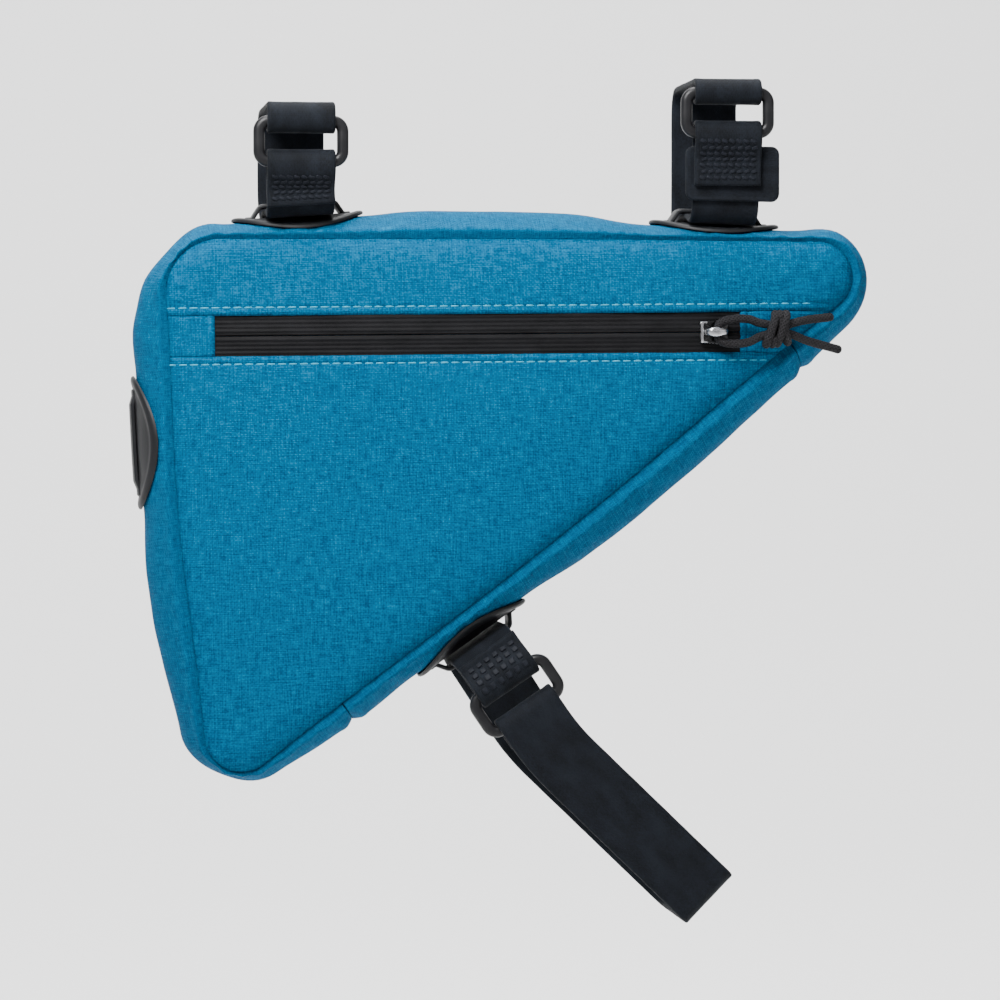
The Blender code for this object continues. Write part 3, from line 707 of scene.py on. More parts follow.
THREAD = thread_material()


# Cloth shell

WHOLE_ARC = OUTLINE_ARC[-1] + math.dist(OUTLINE[-1, :2], OUTLINE[0, :2])
TURN_ARC = np.append(OUTLINE_ARC, WHOLE_ARC)
TURN_POINTS = np.vstack((OUTLINE[:, :2], OUTLINE[:1, :2]))
MIDDLE_X = sum(corner.x for corner in CORNERS) / 3
MIDDLE_Z = sum(corner.z for corner in CORNERS) / 3
FAR_SIDE = 40.0
FUSE = 0.004
HALVINGS = 40

# Places between which the zip's levels cross the seam line
DOWN_SIDE = (1.13, 1.9)
REAR_SIDE_START = 2.13

# Distances of the rows of points from a panel's straight edge and from the seam line
NEAR_ROWS = (0.0, 0.15, 0.35, 0.6, 0.9, 1.25, 1.6, 1.95, 2.2, 2.4, 2.6, 2.85, 3.2, 3.8, 4.8)
FAR_ROWS = (0.0, 0.2, 0.5, 0.9, 1.4, 2.0, 2.8, 3.7, 4.8, 6.2)
FRONT_COLUMNS = 330
TAB_COLUMNS = 24
BACK_COLUMNS = 400
BACK_REACH = 60
BACK_SHARES = [1 - row / BACK_REACH for row in FAR_ROWS] + list(np.linspace(0.87, 0.0, 53))

# Turned edges of the cloth. A panel's: depth into the bag, tuck inwards. The gusset's: depth under the
# panel, tuck inwards, step of the weave map
HEM = ((0.35, 0.10), (1.1, 0.18), (2.2, 0.20))
GUSSET_HEM = ((0.7, 0.3, 0.9), (2.4, 0.6, 2.4))
END_HEM = 1.8

TAB_UNDER = 0.35
TAB_SINK = 0.12
TAB_EDGE_SINK = 0.75
TAB_EDGE = 1.1

GUSSET_SPACING = 1.25
GUSSET_ROWS = 56
GUSSET_CLOTH = 16.74 * math.pi


def outline_run(start_arc, end_arc, count):
    """X and Z of points of the seam line between two distances along it."""
    wrapped = np.mod(np.linspace(start_arc, end_arc, count), WHOLE_ARC)
    x = np.interp(wrapped, TURN_ARC, TURN_POINTS[:, 0])
    z = np.interp(wrapped, TURN_ARC, TURN_POINTS[:, 1])
    return x, z


def to_zip(x, z):
    """Along and across the zip from X and Z."""
    dx = x - REAR_X - ZIP_FROM_REAR
    dz = z + AXIS_ABOVE_SEAM + ZIP_BELOW_SEAM
    return rotated(dx, dz, -math.radians(ZIP_SLOPE))


def seam_in_zip(arc):
    """Along and across the zip of the seam line's point at a distance along the line."""
    x, z = outline_run(arc, arc, 1)
    return to_zip(x[0], z[0])


def arc_at(place):
    return OUTLINE_ARC[int(round(place / 3 * len(OUTLINE_ARC))) % len(OUTLINE_ARC)]


def crossing(level, low_arc, high_arc):
    """Distance along the seam line where it crosses a level across the zip, found by halving."""
    low_is_above = seam_in_zip(low_arc)[1] > level
    for _ in range(HALVINGS):
        middle = (low_arc + high_arc) / 2
        if (seam_in_zip(middle)[1] > level) == low_is_above:
            low_arc = middle
        else:
            high_arc = middle
    return low_arc


def hem(points, depth_way, tuck_ways, maps):
    """Rows that turn an open edge into the bag."""
    rows = []
    charts = []
    for depth, tuck in HEM:
        sink = Vector((0, depth_way * depth, 0))
        rows.append([point + sink + way * tuck for point, way in zip(points, tuck_ways)])
        charts.append([(u, v + depth) for u, v in maps])
    return rows, charts


def vector_rows(x, y, z):
    return [[Vector(spot) for spot in zip(*row)] for row in zip(x, y.reshape(x.shape), z)]


def panel_relief(x, z, along, inside, from_zip, seed):
    """Offset of a panel's cloth from its smooth dome: seam roll, puckers, zip lip and slack."""
    relief = SLACK * wander(x, z, SLACK_SIZE, seed) * smoothstep(0, 15, inside)
    relief += WRINKLE * wander(x, z, WRINKLE_SIZE, seed + 4) * smoothstep(1, 6, inside)
    relief -= SEAM_ROLL * np.exp(-np.clip(inside, 0, None) / SEAM_ROLL_LENGTH)
    beat = np.array([noise.noise(Vector((place / 11, seed, 0.3))) for place in along])
    relief += SEAM_PUCKER * np.sin(along * math.tau / PUCKER_PITCH + 5 * beat) * bell(inside, 3.2, 2.6)
    if from_zip is not None:
        edge = np.clip(from_zip, 0, None)
        relief -= LIP_ROLL * np.clip(1 - edge / LIP_LENGTH, 0, 1) ** 2
        relief -= STITCH_GROOVE * bell(edge, STITCH_FROM_ZIP, 0.45)
        relief += EDGE_RIDGE * bell(edge, 1.3, 0.5)
        relief += STITCH_PULL * np.sin(x * math.tau / STITCH_WAVE) * bell(edge, STITCH_FROM_ZIP, 1.1)
    return relief


def ruled_panel(name, edge, run, spacing, seed, node, at_end=False):
    """Cloth between a run of the seam line and a straight edge, given as two points along and across the zip.

    The edge lies along the zip or, with at_end, across its end.
    """
    (start_u, start_v), (stop_u, stop_v) = edge
    far_x, far_z = run
    share = np.linspace(0, 1, len(far_x))
    near_x, near_z = zip_plane(start_u + (stop_u - start_u) * share, start_v + (stop_v - start_v) * share)
    lengths = np.hypot(far_x - near_x, far_z - near_z)
    near_rows = np.array(NEAR_ROWS)
    far_rows = np.array(FAR_ROWS)
    fixed = near_rows[-1] + far_rows[-1]
    middle_rows = max(4, int((lengths.max() - near_rows[-1] - far_rows[-1]) / spacing))
    squeeze = np.minimum(1.0, lengths * 0.92 / fixed)
    start = near_rows[-1] * squeeze
    stop = lengths - far_rows[-1] * squeeze
    rows = [row * squeeze for row in near_rows]
    rows += [start + (stop - start) * step / middle_rows for step in range(1, middle_rows)]
    rows += [lengths - row * squeeze for row in far_rows[::-1]]
    share = np.array(rows) / np.maximum(lengths, 1e-6)
    x = near_x + (far_x - near_x) * share
    z = near_z + (far_z - near_z) * share
    inside, along = seam_distance(x, z)
    u, v = to_zip(x.ravel(), z.ravel())
    from_edge = np.abs(u - start_u) if at_end else np.abs(v - start_v)
    rise = panel_rise(x, z) + panel_relief(x.ravel(), z.ravel(), along, inside, from_edge, seed)
    if at_end:
        from_side = ZIP_HEIGHT / 2 - np.abs(v) + TAB_UNDER
        rise -= TAB_SINK + TAB_EDGE_SINK * np.clip(1 - from_side / TAB_EDGE, 0, 1) ** 2
    points = vector_rows(x, -SEAM_HALF - rise, z)
    maps = [list(zip(*row)) for row in zip(u.reshape(x.shape), v.reshape(x.shape))]
    inward = []
    for dx, dz in zip(near_x - far_x, near_z - far_z):
        step = Vector((dx, 0, dz))
        inward.append(step.normalized() if step.length > 1e-6 else Vector())
    zip_rows, zip_maps = hem(points[0], 1, [Vector()] * len(inward), maps[0])
    seam_rows, seam_maps = hem(points[-1], 1, inward, maps[-1])
    surface = Surface()
    surface.grid(zip_rows[::-1] + points + seam_rows, zip_maps[::-1] + maps + seam_maps,
                 centre=(MIDDLE_X, FAR_SIDE, MIDDLE_Z))
    surface.build(name, [BLUE], [node], merge=FUSE)


def make_front():
    """Panels above and below the zip, and the tabs at its ends."""
    half = ZIP_HEIGHT / 2
    under = half + TAB_UNDER
    levels = (half, -half, under, -under)
    front = {level: crossing(level, *map(arc_at, DOWN_SIDE)) for level in levels}
    rear = {level: crossing(level, arc_at(REAR_SIDE_START), WHOLE_ARC - 0.5) for level in levels}
    for name, level, start, spacing, seed in (
        ("upper", half, rear[half] - WHOLE_ARC, 1.1, UPPER_SEED),
        ("lower", -half, rear[-half], 1.5, LOWER_SEED),
    ):
        edge = ((seam_in_zip(rear[level])[0], level), (seam_in_zip(front[level])[0], level))
        run = outline_run(start, front[level], FRONT_COLUMNS)
        ruled_panel("cloth_front_" + name, edge, run, spacing, seed, "front_" + name + "_panel")
    for name, arcs, u, seed in (("rear", rear, -GAP, 2.9), ("front", front, ZIP_LENGTH + GAP, 3.3)):
        run = outline_run(arcs[-under], arcs[under], TAB_COLUMNS)
        ruled_panel("cloth_end_tab_" + name, ((u, -under), (u, under)), run, 0.8, seed,
                    "zip_end_tab_" + name, at_end=True)


def make_back():
    """Back panel: rings from the seam line to the middle."""
    edge_x, edge_z = outline_run(0, WHOLE_ARC * (1 - 1 / BACK_COLUMNS), BACK_COLUMNS)
    shares = np.array(BACK_SHARES)[:, None]
    x = MIDDLE_X + (edge_x - MIDDLE_X) * shares
    z = MIDDLE_Z + (edge_z - MIDDLE_Z) * shares
    inside, along = seam_distance(x, z)
    rise = panel_rise(x, z) + panel_relief(x.ravel(), z.ravel(), along, inside, None, BACK_SEED)
    points = vector_rows(x, SEAM_HALF + rise, z)
    maps = [list(zip(*row)) for row in zip(-x, z)]
    ways = zip(MIDDLE_X - edge_x, MIDDLE_Z - edge_z)
    inward = [Vector((dx, 0, dz)) / math.hypot(dx, dz) for dx, dz in ways]
    rows, charts = hem(points[0], -1, inward, maps[0])
    surface = Surface()
    surface.grid(rows[::-1] + points, [chart + chart[:1] for chart in charts[::-1] + maps], wrap=True,
                 centre=(MIDDLE_X, -FAR_SIDE, MIDDLE_Z))
    surface.build("cloth_back_panel", [BLUE], ["back_panel"], merge=FUSE)


def seat_share(place):
    """1 on the flat seat under an anchor, 0 well away from it."""
    share = 0.0
    for anchor in ANCHORS:
        away = abs(from_anchor(place, anchor))
        share = max(share, float(1 - smoothstep(ANCHOR_LENGTH / 2 + 1, ANCHOR_LENGTH / 2 + 9, away)))
    return share


def gusset_places(start, end):
    """Evenly spaced places from start to end, and their distances along the seam line."""
    whole = np.linspace(0, 3, len(OUTLINE_ARC), endpoint=False)
    places = np.concatenate((whole, whole + 3))
    arcs = np.concatenate((OUTLINE_ARC, OUTLINE_ARC + WHOLE_ARC))
    first, last = np.interp((start, end), places, arcs)
    spaced = np.linspace(first, last, int((last - first) / GUSSET_SPACING) + 1)
    return np.interp(spaced, arcs, places), spaced


def gusset_point(place, arc, share, ends):
    """Cloth of the gusset: the CAD wall with a pulled-in seam edge, puckers, slack and tucked ends."""
    calm = 1 - 0.85 * seat_share(place)
    base = wall_point(place, share, 0.0)
    _, _, nx, nz = seam_frame(place)
    edge = 1 - abs(share)
    side = 1.0 if share > 0 else -1.0
    y = SEAM_HALF * share * (1 - SEAM_TUCK * abs(share) ** 10)
    y += side * GUSSET_ROLL * bell(edge, 0.10, 0.07)
    beat = noise.noise(Vector((arc / 13, 0.5 * share, 2.2)))
    free = min(1, edge * 4)
    out = GUSSET_SLACK * calm * noise.noise(Vector((arc / GUSSET_SLACK_SIZE, share * 1.3, 4.1))) * free
    out += GUSSET_WRINKLE * calm * noise.noise(Vector((arc / GUSSET_WRINKLE_SIZE, share * 2.2, 9.3))) * free
    pucker = math.sin(arc * math.tau / GUSSET_PUCKER_PITCH + 6 * beat + side)
    out += GUSSET_PUCKER * pucker * bell(edge, 0.16, 0.13)
    corner = abs(place - round(place))
    if corner < CORNER_REACH:
        gather = math.sin(arc * math.tau / CORNER_GATHER_PITCH + 3 * beat) * (1 - corner / CORNER_REACH)
        out += CORNER_GATHER * gather * bell(edge, 0.22, 0.2)
    nearest = min(abs(arc - end) for end in ends)
    out -= END_TUCK * bell(nearest, 0.0, 1.3) * min(1, edge * 3)
    out += END_RIDGE * bell(nearest, 3.4, 1.3) * min(1, edge * 3)
    return Vector((base.x + nx * out, y, base.z + nz * out))


def make_gusset(name, start, end, node):
    shares = [math.sin(math.radians(angle)) for angle in np.linspace(-90, 90, GUSSET_ROWS + 1)]
    chart = [-step for _, _, step in GUSSET_HEM[::-1]]
    chart += [GUSSET_CLOTH * row / GUSSET_ROWS for row in range(GUSSET_ROWS + 1)]
    chart += [GUSSET_CLOTH + step for _, _, step in GUSSET_HEM]
    places, arcs = gusset_places(start, end)
    rows = []
    for place, arc in zip(places, arcs):
        _, _, nx, nz = seam_frame(place)
        normal = Vector((nx, 0, nz))
        line = [gusset_point(place, arc, share, (arcs[0], arcs[-1])) for share in shares]
        front = [line[0] + Vector((0, depth, 0)) - normal * tuck for depth, tuck, _ in GUSSET_HEM[::-1]]
        back = [line[-1] - Vector((0, depth, 0)) - normal * tuck for depth, tuck, _ in GUSSET_HEM]
        rows.append(front + line + back)
    maps = [[(arc, width) for width in chart] for arc in (arcs[0] - END_HEM, *arcs, arcs[-1] + END_HEM)]
    ends = []
    for row, place in ((rows[0], places[0]), (rows[-1], places[-1])):
        _, _, nx, nz = seam_frame(place)
        ends.append([point - Vector((nx, 0, nz)) * END_HEM for point in row])
    surface = Surface()
    surface.grid([ends[0]] + rows + [ends[1]], maps)
    surface.build(name, [BLUE], [node])


# Stitching along the zip. The arch of one stitch: share of its length, height above the cloth
STITCH_START = -14.2
UPPER_STITCH_END = 184.0
LOWER_STITCH_END = 170.0
STITCH_PITCH = 3.25
STITCH_LENGTH = 2.35
THREAD_RADIUS = 0.21
THREAD_SPREAD = 1.25
STITCH_ARCH = ((0.0, -0.22), (0.1, 0.02), (0.3, 0.15), (0.7, 0.15), (0.9, 0.02), (1.0, -0.22))


def stitch_point(u, v, height):
    """Point above the front cloth on a stitch line."""
    x, z = zip_plane(u, v)
    inside, along = seam_distance([x], [z])
    seed = UPPER_SEED if v > 0 else LOWER_SEED
    relief = panel_relief(np.array([x]), np.array([z]), along, inside, np.array([STITCH_FROM_ZIP]), seed)
    return zip_point(u, v, float(relief[0]) + height)


def make_zip_stitches():
    """A row of thread dashes along each side of the zip."""
    surface = Surface()
    up = Vector((0, -1, 0))
    maps = [[(row * 0.5, turn * 0.3) for turn in range(7)] for row in range(len(STITCH_ARCH))]
    for v, stop in (
        (ZIP_HEIGHT / 2 + STITCH_FROM_ZIP, UPPER_STITCH_END),
        (-ZIP_HEIGHT / 2 - STITCH_FROM_ZIP, LOWER_STITCH_END),
    ):
        for index in range(int((stop - STITCH_START) / STITCH_PITCH)):
            begin = STITCH_START + STITCH_PITCH * index
            spots = [stitch_point(begin + STITCH_LENGTH * share, v, height) for share, height in STITCH_ARCH]
            ends = [spots[0]] + spots + [spots[-1]]
            sections = []
            for before, spot, after in zip(ends, spots, ends[2:]):
                ahead = (after - before).normalized()
                side = ahead.cross(up).normalized()
                rise = side.cross(ahead)
                sections.append([
                    spot + (side * math.cos(turn) * THREAD_SPREAD + rise * math.sin(turn)) * THREAD_RADIUS
                    for turn in np.linspace(0, math.tau, 6, endpoint=False)
                ])
            surface.grid(sections, maps, wrap=True)
    surface.build("zip_stitching", [THREAD], [])


# Zip

TAPE_SPLIT = 0.06
TAPE_RIB = 1.3
TAPE_RIB_HEIGHT = 0.07
TAPE_ROLL = 0.45
TAPE_SWELL = 0.22
TAPE_BOW = 0.10
TAPE_UNDER_CLOTH = 0.9
TAPE_PAST_END = 1.2
SLIDER_CENTRE = ZIP_LENGTH - SLIDER_FROM_END
SLIDER_BASE = GAP - TAPE_RECESS
BAIL_STEP = 3.0

Plate = namedtuple("Plate", "outline corner base top edge sides finish")


def tape_lift(v):
    """Height of a tape's face: ribs, a rolled inner edge and a swell beside it."""
    ribs = TAPE_RIB_HEIGHT * math.cos(v * math.tau / TAPE_RIB)
    roll = TAPE_ROLL * max(0.0, 1 - (v - TAPE_SPLIT) / 0.35) ** 2
    return -TAPE_RECESS - 0.05 + ribs - roll + TAPE_SWELL * bell(v, 1.2, 1.0)


def make_tapes():
    """Ribbed tapes that meet along the middle of the closed zip."""
    half = ZIP_HEIGHT / 2 + TAPE_UNDER_CLOTH
    face = [(v, tape_lift(v)) for v in TAPE_SPLIT + (half - TAPE_SPLIT) * np.linspace(0, 1, 40)]
    for name, node, sign in (
        ("zip_tape_top", "zip_tape_upper", 1),
        ("zip_tape_bottom", "zip_tape_lower", -1),
    ):
        rows = []
        maps = []
        for u in np.linspace(-TAPE_PAST_END, ZIP_LENGTH + TAPE_PAST_END, 110):
            bowed = TAPE_BOW * noise.noise(Vector((u / 24, sign * 3.0, 0.0)))
            line = [zip_point(u, sign * v, lift + bowed) for v, lift in face]
            split = zip_point(u, sign * 0.07, -TAPE_RECESS - 1.4)
            rows.append([split] + line + [zip_point(u, sign * half, -TAPE_RECESS - 0.9)])
            maps.append([(u, -sign)] + [(u, sign * v) for v, _ in face] + [(u, sign * (half + 1))])
        surface = Surface()
        surface.grid(rows, maps, centre=(MIDDLE_X, FAR_SIDE, MIDDLE_Z))
        surface.build(name, [TAPE_CLOTH], [node])


def slab(surface, outline, base, top, edge, place, rings=3, finish=0):
    """Plate with rounded upper edges: outline is a loop of (u, v) points."""
    middle_u = sum(u for u, _ in outline) / len(outline)
    middle_v = sum(v for _, v in outline) / len(outline)
    reach = max(math.hypot(u - middle_u, v - middle_v) for u, v in outline)
    levels = [(1.0, base), (1.0, top - edge)]
    for step in range(1, rings + 1):
        turn = math.pi / 2 * step / rings
        levels.append((1 - edge * (1 - math.cos(turn)) / reach, top - edge + edge * math.sin(turn)))
    levels += [(share, top) for share in (0.6, 0.25, 0.01)]
    rows = []
    for share, lift in levels:
        shrunk = [(middle_u + (u - middle_u) * share, middle_v + (v - middle_v) * share) for u, v in outline]
        rows.append([place(u, v, lift) for u, v in shrunk])
    maps = [[(row * 0.6, turn * 0.6) for turn in range(len(outline) + 1)] for row in range(len(rows))]
    surface.grid(rows, maps, wrap=True, finish=finish)


def rounded_loop(points, radius, steps=4):
    """Closed loop of points with each corner rounded."""
    loop = []
    for index, (u, v) in enumerate(points):
        back = points[index - 1]
        ahead = points[(index + 1) % len(points)]
        bu, bv = unit(back[0] - u, back[1] - v)
        au, av = unit(ahead[0] - u, ahead[1] - v)
        for t in np.linspace(0, 1, steps):
            first = (u + bu * radius * (1 - t), v + bv * radius * (1 - t))
            second = (u + au * radius * t, v + av * radius * t)
            loop.append((first[0] + (second[0] - first[0]) * t, first[1] + (second[1] - first[1]) * t))
    return loop


def subdivide(path, step, least=1):
    """Path with points about a step apart; least is the fewest parts of each stretch."""
    fine = []
    for (a, b), (c, d) in zip(path, path[1:]):
        parts = max(least, round(math.hypot(c - a, d - b) / step))
        fine += [(a + (c - a) * part / parts, b + (d - b) * part / parts) for part in range(parts)]
    return fine + [path[-1]]


def directions(path):
    """Direction of an open path in its plane, at each of its points."""
    ends = [path[0]] + path + [path[-1]]
    return [unit(after[0] - before[0], after[1] - before[1]) for before, after in zip(ends, ends[2:])]


def soft_section(half_out, half_across, sides, out_power, across_power):
    """Rounded section as (out, across) points: powers below 1 flatten its faces."""
    section = []
    for turn in np.linspace(0, math.tau, sides, endpoint=False):
        c = math.cos(turn)
        s = math.sin(turn)
        out = half_out * math.copysign(abs(s) ** out_power, s)
        section.append((out, half_across * math.copysign(abs(c) ** across_power, c)))
    return section


def sweep(surface, path, place, section_at):
    """Tube along a path of (u, lift) points; place puts a point (u, across, lift) in space."""
    spots = []
    sections = []
    for (u, lift), (du, dl) in zip(path, directions(path)):
        sections.append([place(u - dl * out, across, lift + du * out) for out, across in section_at(u)])
        spots.append(place(u, 0, lift))
    surface.tube(spots, sections)


def make_slider():
    """Plated slider: flared plate with side flanges, a stop bar, and the bail that holds the cord."""
    surface = Surface()
    length = SLIDER_LENGTH / 2
    width = SLIDER_WIDTH / 2

    def place(u, v, lift):
        return zip_point(SLIDER_CENTRE + u, v, lift)

    def bail_section(u):
        swell = 0.62 + 0.38 * bell(u, -0.6, 1.5)
        return soft_section(BAIL_BAR / 2, BAIL_WIDTH / 2 * swell, 12, 1.0, 0.7)

    body = (
        (-length, -width * 0.62), (-length * 0.5, -width * 0.92), (length * 0.5, -width),
        (length, -width * 0.7), (length * 0.78, 0), (length, width * 0.7),
        (length * 0.5, width), (-length * 0.5, width * 0.92), (-length, width * 0.62),
    )
    flange = (
        (-length * 0.7, width * 0.62), (length * 0.62, width * 0.74),
        (length * 0.62, width * 0.96), (-length * 0.7, width * 0.84),
    )
    stop = ((-length - 0.1, -3.2), (-length + 0.75, -3.2), (-length + 0.75, 3.2), (-length - 0.1, 3.2))
    horn = ((-length + 0.2, 2.55), (-length + 2.0, 2.75), (-length + 2.0, 3.25), (-length + 0.2, 3.2))
    for plate in (
        Plate(body, 0.55, 0.0, 1.3, 0.4, (1,), 1),
        Plate(flange, 0.25, 0.6, 1.75, 0.25, (1, -1), 1),
        Plate(stop, 0.3, 0.1, 2.0, 0.35, (1,), 0),
        Plate(horn, 0.2, 0.6, 1.95, 0.22, (1, -1), 0),
    ):
        for sign in plate.sides:
            loop = rounded_loop([(u, sign * v) for u, v in plate.outline], plate.corner)
            slab(surface, loop, SLIDER_BASE + plate.base, SLIDER_BASE + plate.top, plate.edge, place,
                 finish=plate.finish)
    leg = CORD / 2 + 2 * GAP + BAIL_BAR
    foot = SLIDER_BASE + 0.8
    roof = SLIDER_BASE + SLIDER_BODY + CORD + 2 * GAP + BAIL_BAR / 2
    shoulder = leg * 0.92
    corners = ((-leg, foot, 0), (-shoulder, roof, 1.5), (shoulder, roof, 1.5), (leg, foot, 0))
    path = fillet_path(corners, math.radians(12))
    sweep(surface, subdivide(path, BAIL_STEP, 2), place, bail_section)
    surface.build("slider_metal", [METAL, DARK_METAL], ["zip_slider"], 50)


# Pull cord. Its route in the zip's frame, from the middle of the slider: along, across, lift
LOOP_ROUTE = (
    (13.0, 2.6, 4.1), (9.6, 3.8, 3.8), (5.0, 3.8, 3.5), (1.3, 2.7, 3.25), (0.2, 0.0, 3.25),
    (1.3, -2.7, 3.25), (5.0, -3.6, 3.5), (9.6, -3.2, 3.8), (13.0, -1.6, 4.1),
)
UPPER_TAIL_ROUTE = ((24.0, 2.6, 4.0), (28.4, 3.5, 3.6), (35.6, 4.3, 2.9))
LOWER_TAIL_ROUTE = ((24.0, -1.2, 4.0), (28.6, -3.0, 3.4), (38.0, -5.6, 2.7))
INTO_KNOT = ((20.9, 1.7, 4.0), (17.4, 1.9, 4.1))
OUT_OF_KNOT = ((16.6, -0.6, 4.1), (20.2, -0.3, 4.0))
KNOT_ALONG = 18.5
KNOT_ACROSS = 0.7
KNOT_HEIGHT = 11.6
KNOT_DEPTH = 7.4

# Wraps of the knot: turn that it starts at, lean, size as a share of the knot, and shift along the cord
Wrap = namedtuple("Wrap", "start lean size shift")
WRAPS = (Wrap(0.0, 0.9, 1.0, -1.5), Wrap(0.35, 0.9, 1.0, 0.9), Wrap(2.6, -0.7, 0.86, 1.8))
WRAP_TURNS = 1.12
WRAP_STEPS = 40


def smooth_points(route, steps):
    """Points of a Catmull-Rom curve through a route."""
    ends = [2 * route[0] - route[1]] + route + [2 * route[-1] - route[-2]]
    points = []
    for index in range(1, len(ends) - 2):
        a, b, c, d = ends[index - 1:index + 3]
        for t in spread(0, 1, steps)[:-1]:
            bend = (2 * a - 5 * b + 4 * c - d) * t ** 2 + (3 * b - a - 3 * c + d) * t ** 3
            points.append(0.5 * (2 * b + (c - a) * t + bend))
    points.append(route[-1])
    return points


def cord_route():
    """Middle line of the whole cord: upper tail, knot, round the bail, knot and lower tail."""
    whole = UPPER_TAIL_ROUTE[::-1] + INTO_KNOT + LOOP_ROUTE + OUT_OF_KNOT + LOWER_TAIL_ROUTE
    return [zip_point(SLIDER_CENTRE + u, v, lift) for u, v, lift in whole]


def round_tube(surface, path, radius, sides=14):
    """Round tube along a path, with sections that don't twist."""
    up = Vector((0, 1, 0))
    sections = []
    ends = [path[0]] + path + [path[-1]]
    for before, spot, after in zip(ends, path, ends[2:]):
        ahead = (after - before).normalized()
        side = ahead.cross(up).normalized()
        up = side.cross(ahead).normalized()
        sections.append([
            spot + (side * math.cos(turn) + up * math.sin(turn)) * radius
            for turn in np.linspace(0, math.tau, sides, endpoint=False)
        ])
    surface.tube(path, sections)


def make_pull():
    """Cord looped through the bail and tied in one knot, with two short tails."""
    route = smooth_points(cord_route(), 6)
    surface = Surface()
    round_tube(surface, route, CORD / 2)
    stands_for = ["pull_loop", "pull_tail_upper", "pull_tail_lower"]
    cord = surface.build("pull_cord_loop", [BRAID], stands_for)
    knot = Surface()
    for wrap in WRAPS:
        path = []
        for step in range(WRAP_STEPS + 1):
            turn = wrap.start * math.tau + math.tau * WRAP_TURNS * step / WRAP_STEPS
            v = math.cos(turn) * (KNOT_HEIGHT / 2 - CORD / 2) * wrap.size
            lift = math.sin(turn) * (KNOT_DEPTH / 2 - CORD / 2) * wrap.size
            u = wrap.shift + wrap.lean * v * 0.42 + (step / WRAP_STEPS - 0.5) * 1.6
            height = GAP + KNOT_DEPTH / 2 + lift
            path.append(zip_point(SLIDER_CENTRE + KNOT_ALONG + u, KNOT_ACROSS + v, height))
        round_tube(knot, path, CORD / 2 * 1.04)
    tied = knot.build("pull_cord_knot", [BRAID], ["pull_knot"])
    length = sum((after - before).length for before, after in zip(route, route[1:])) * MM
    exit_point = zip_point(SLIDER_CENTRE + UPPER_TAIL_ROUTE[-1][0], *UPPER_TAIL_ROUTE[-1][1:]) * MM


# Anchors. Their plate from its underside to its middle: share of the oval, height
PLATE_LEVELS = (
    (0.975, 0.0), (1.0, 0.25), (1.0, 0.75), (0.985, 1.1), (0.955, 1.28), (0.92, 1.3), (0.885, 1.15),
    (0.86, 0.92), (0.8, 0.85), (0.62, 0.85), (0.42, 0.85), (0.2, 0.85), (0.02, 0.85),
)
PLATE_SIDES = 72
FOOT_REACH = 3.6
FOOT_LENGTH = 1.8
SHOULDER_REACH = 1.1
SHOULDER_BEND = 1.6
EMPTY_ROOF = 0.8
EMPTY_BEND = 0.4


def make_anchor(anchor):
    """Moulded oval plate with a raised rim, a recessed middle and a bridge over the strap's way."""
    surface = Surface()

    def place(u, v, height):
        """Point above the gusset: u along the gusset, v across it."""
        return wall_point(place_at(anchor.side, anchor.along + u), v / SEAM_HALF, ANCHOR_GAP + height)

    def bridge_section(_):
        return soft_section(BRIDGE * 0.5, BRIDGE_WIDTH / 2, 20, 0.45, 0.45)

    around = np.linspace(0, math.tau, PLATE_SIDES + 1)
    rows = []
    for share, height in PLATE_LEVELS:
        half_u = ANCHOR_LENGTH / 2 * share
        half_v = ANCHOR_WIDTH / 2 * share
        rows.append([place(half_u * math.cos(turn), half_v * math.sin(turn), height) for turn in around[:-1]])
    maps = [[(share * 20, turn * 6) for turn in around] for share, _ in PLATE_LEVELS]
    x, z, nx, nz = seam_frame(place_at(anchor.side, anchor.along))
    surface.grid(rows, maps, wrap=True, centre=(x - nx * FAR_SIDE, 0, z - nz * FAR_SIDE))
    holds_strap = anchor.way >= STRAP
    foot = STRAP_WIDTH / 2 + FOOT_REACH
    shoulder = STRAP_WIDTH / 2 + SHOULDER_REACH
    roof = (ANCHOR_PLATE + anchor.way + 2 * GAP if holds_strap else EMPTY_ROOF) + BRIDGE / 2
    bend = SHOULDER_BEND if holds_strap else EMPTY_BEND
    sunk = ANCHOR_PLATE / 2
    path = fillet_path((
        (-foot - FOOT_LENGTH, sunk, 0), (-foot, sunk, 1), (-shoulder, roof, bend),
        (shoulder, roof, bend), (foot, sunk, 1), (foot + FOOT_LENGTH, sunk, 0),
    ), math.radians(10))
    sweep(surface, subdivide(path, 1.2), place, bridge_section)
    surface.build("moulded_" + anchor.name, [RUBBER], [anchor.name], 50)


# Straps

BARS_APART = RING_HEIGHT - RING_BAR
WRAP = RING_BAR / 2 + GAP + STRAP / 2
SEAT = ANCHOR_GAP + ANCHOR_PLATE + GAP + STRAP / 2
TOP_FACE = TOP_TUBE_WIDTH / 2 + GAP + STRAP / 2
DOWN_BACK = DOWN_TUBE_WIDTH / 2 + GAP + STRAP / 2
SEAT_BEND = 3
BRIDGE_CLEAR = 1.5
BACK_BEND = 10
TOP_BEND = 6
SETTLE_LENGTH = 5.0
BEND_LENGTH = 16.0
HEADING_STEPS = 30
SELVAGE = 0.10
EDGE_SIDES = 5

# A strap's closed ends: share of its section, push out, and the weave map's steps
STRAP_CAPS = ((0.8, 0.25), (0.45, 0.4), (0.05, 0.45))
CAP_RUNS = (0.2, 0.4, 0.6)

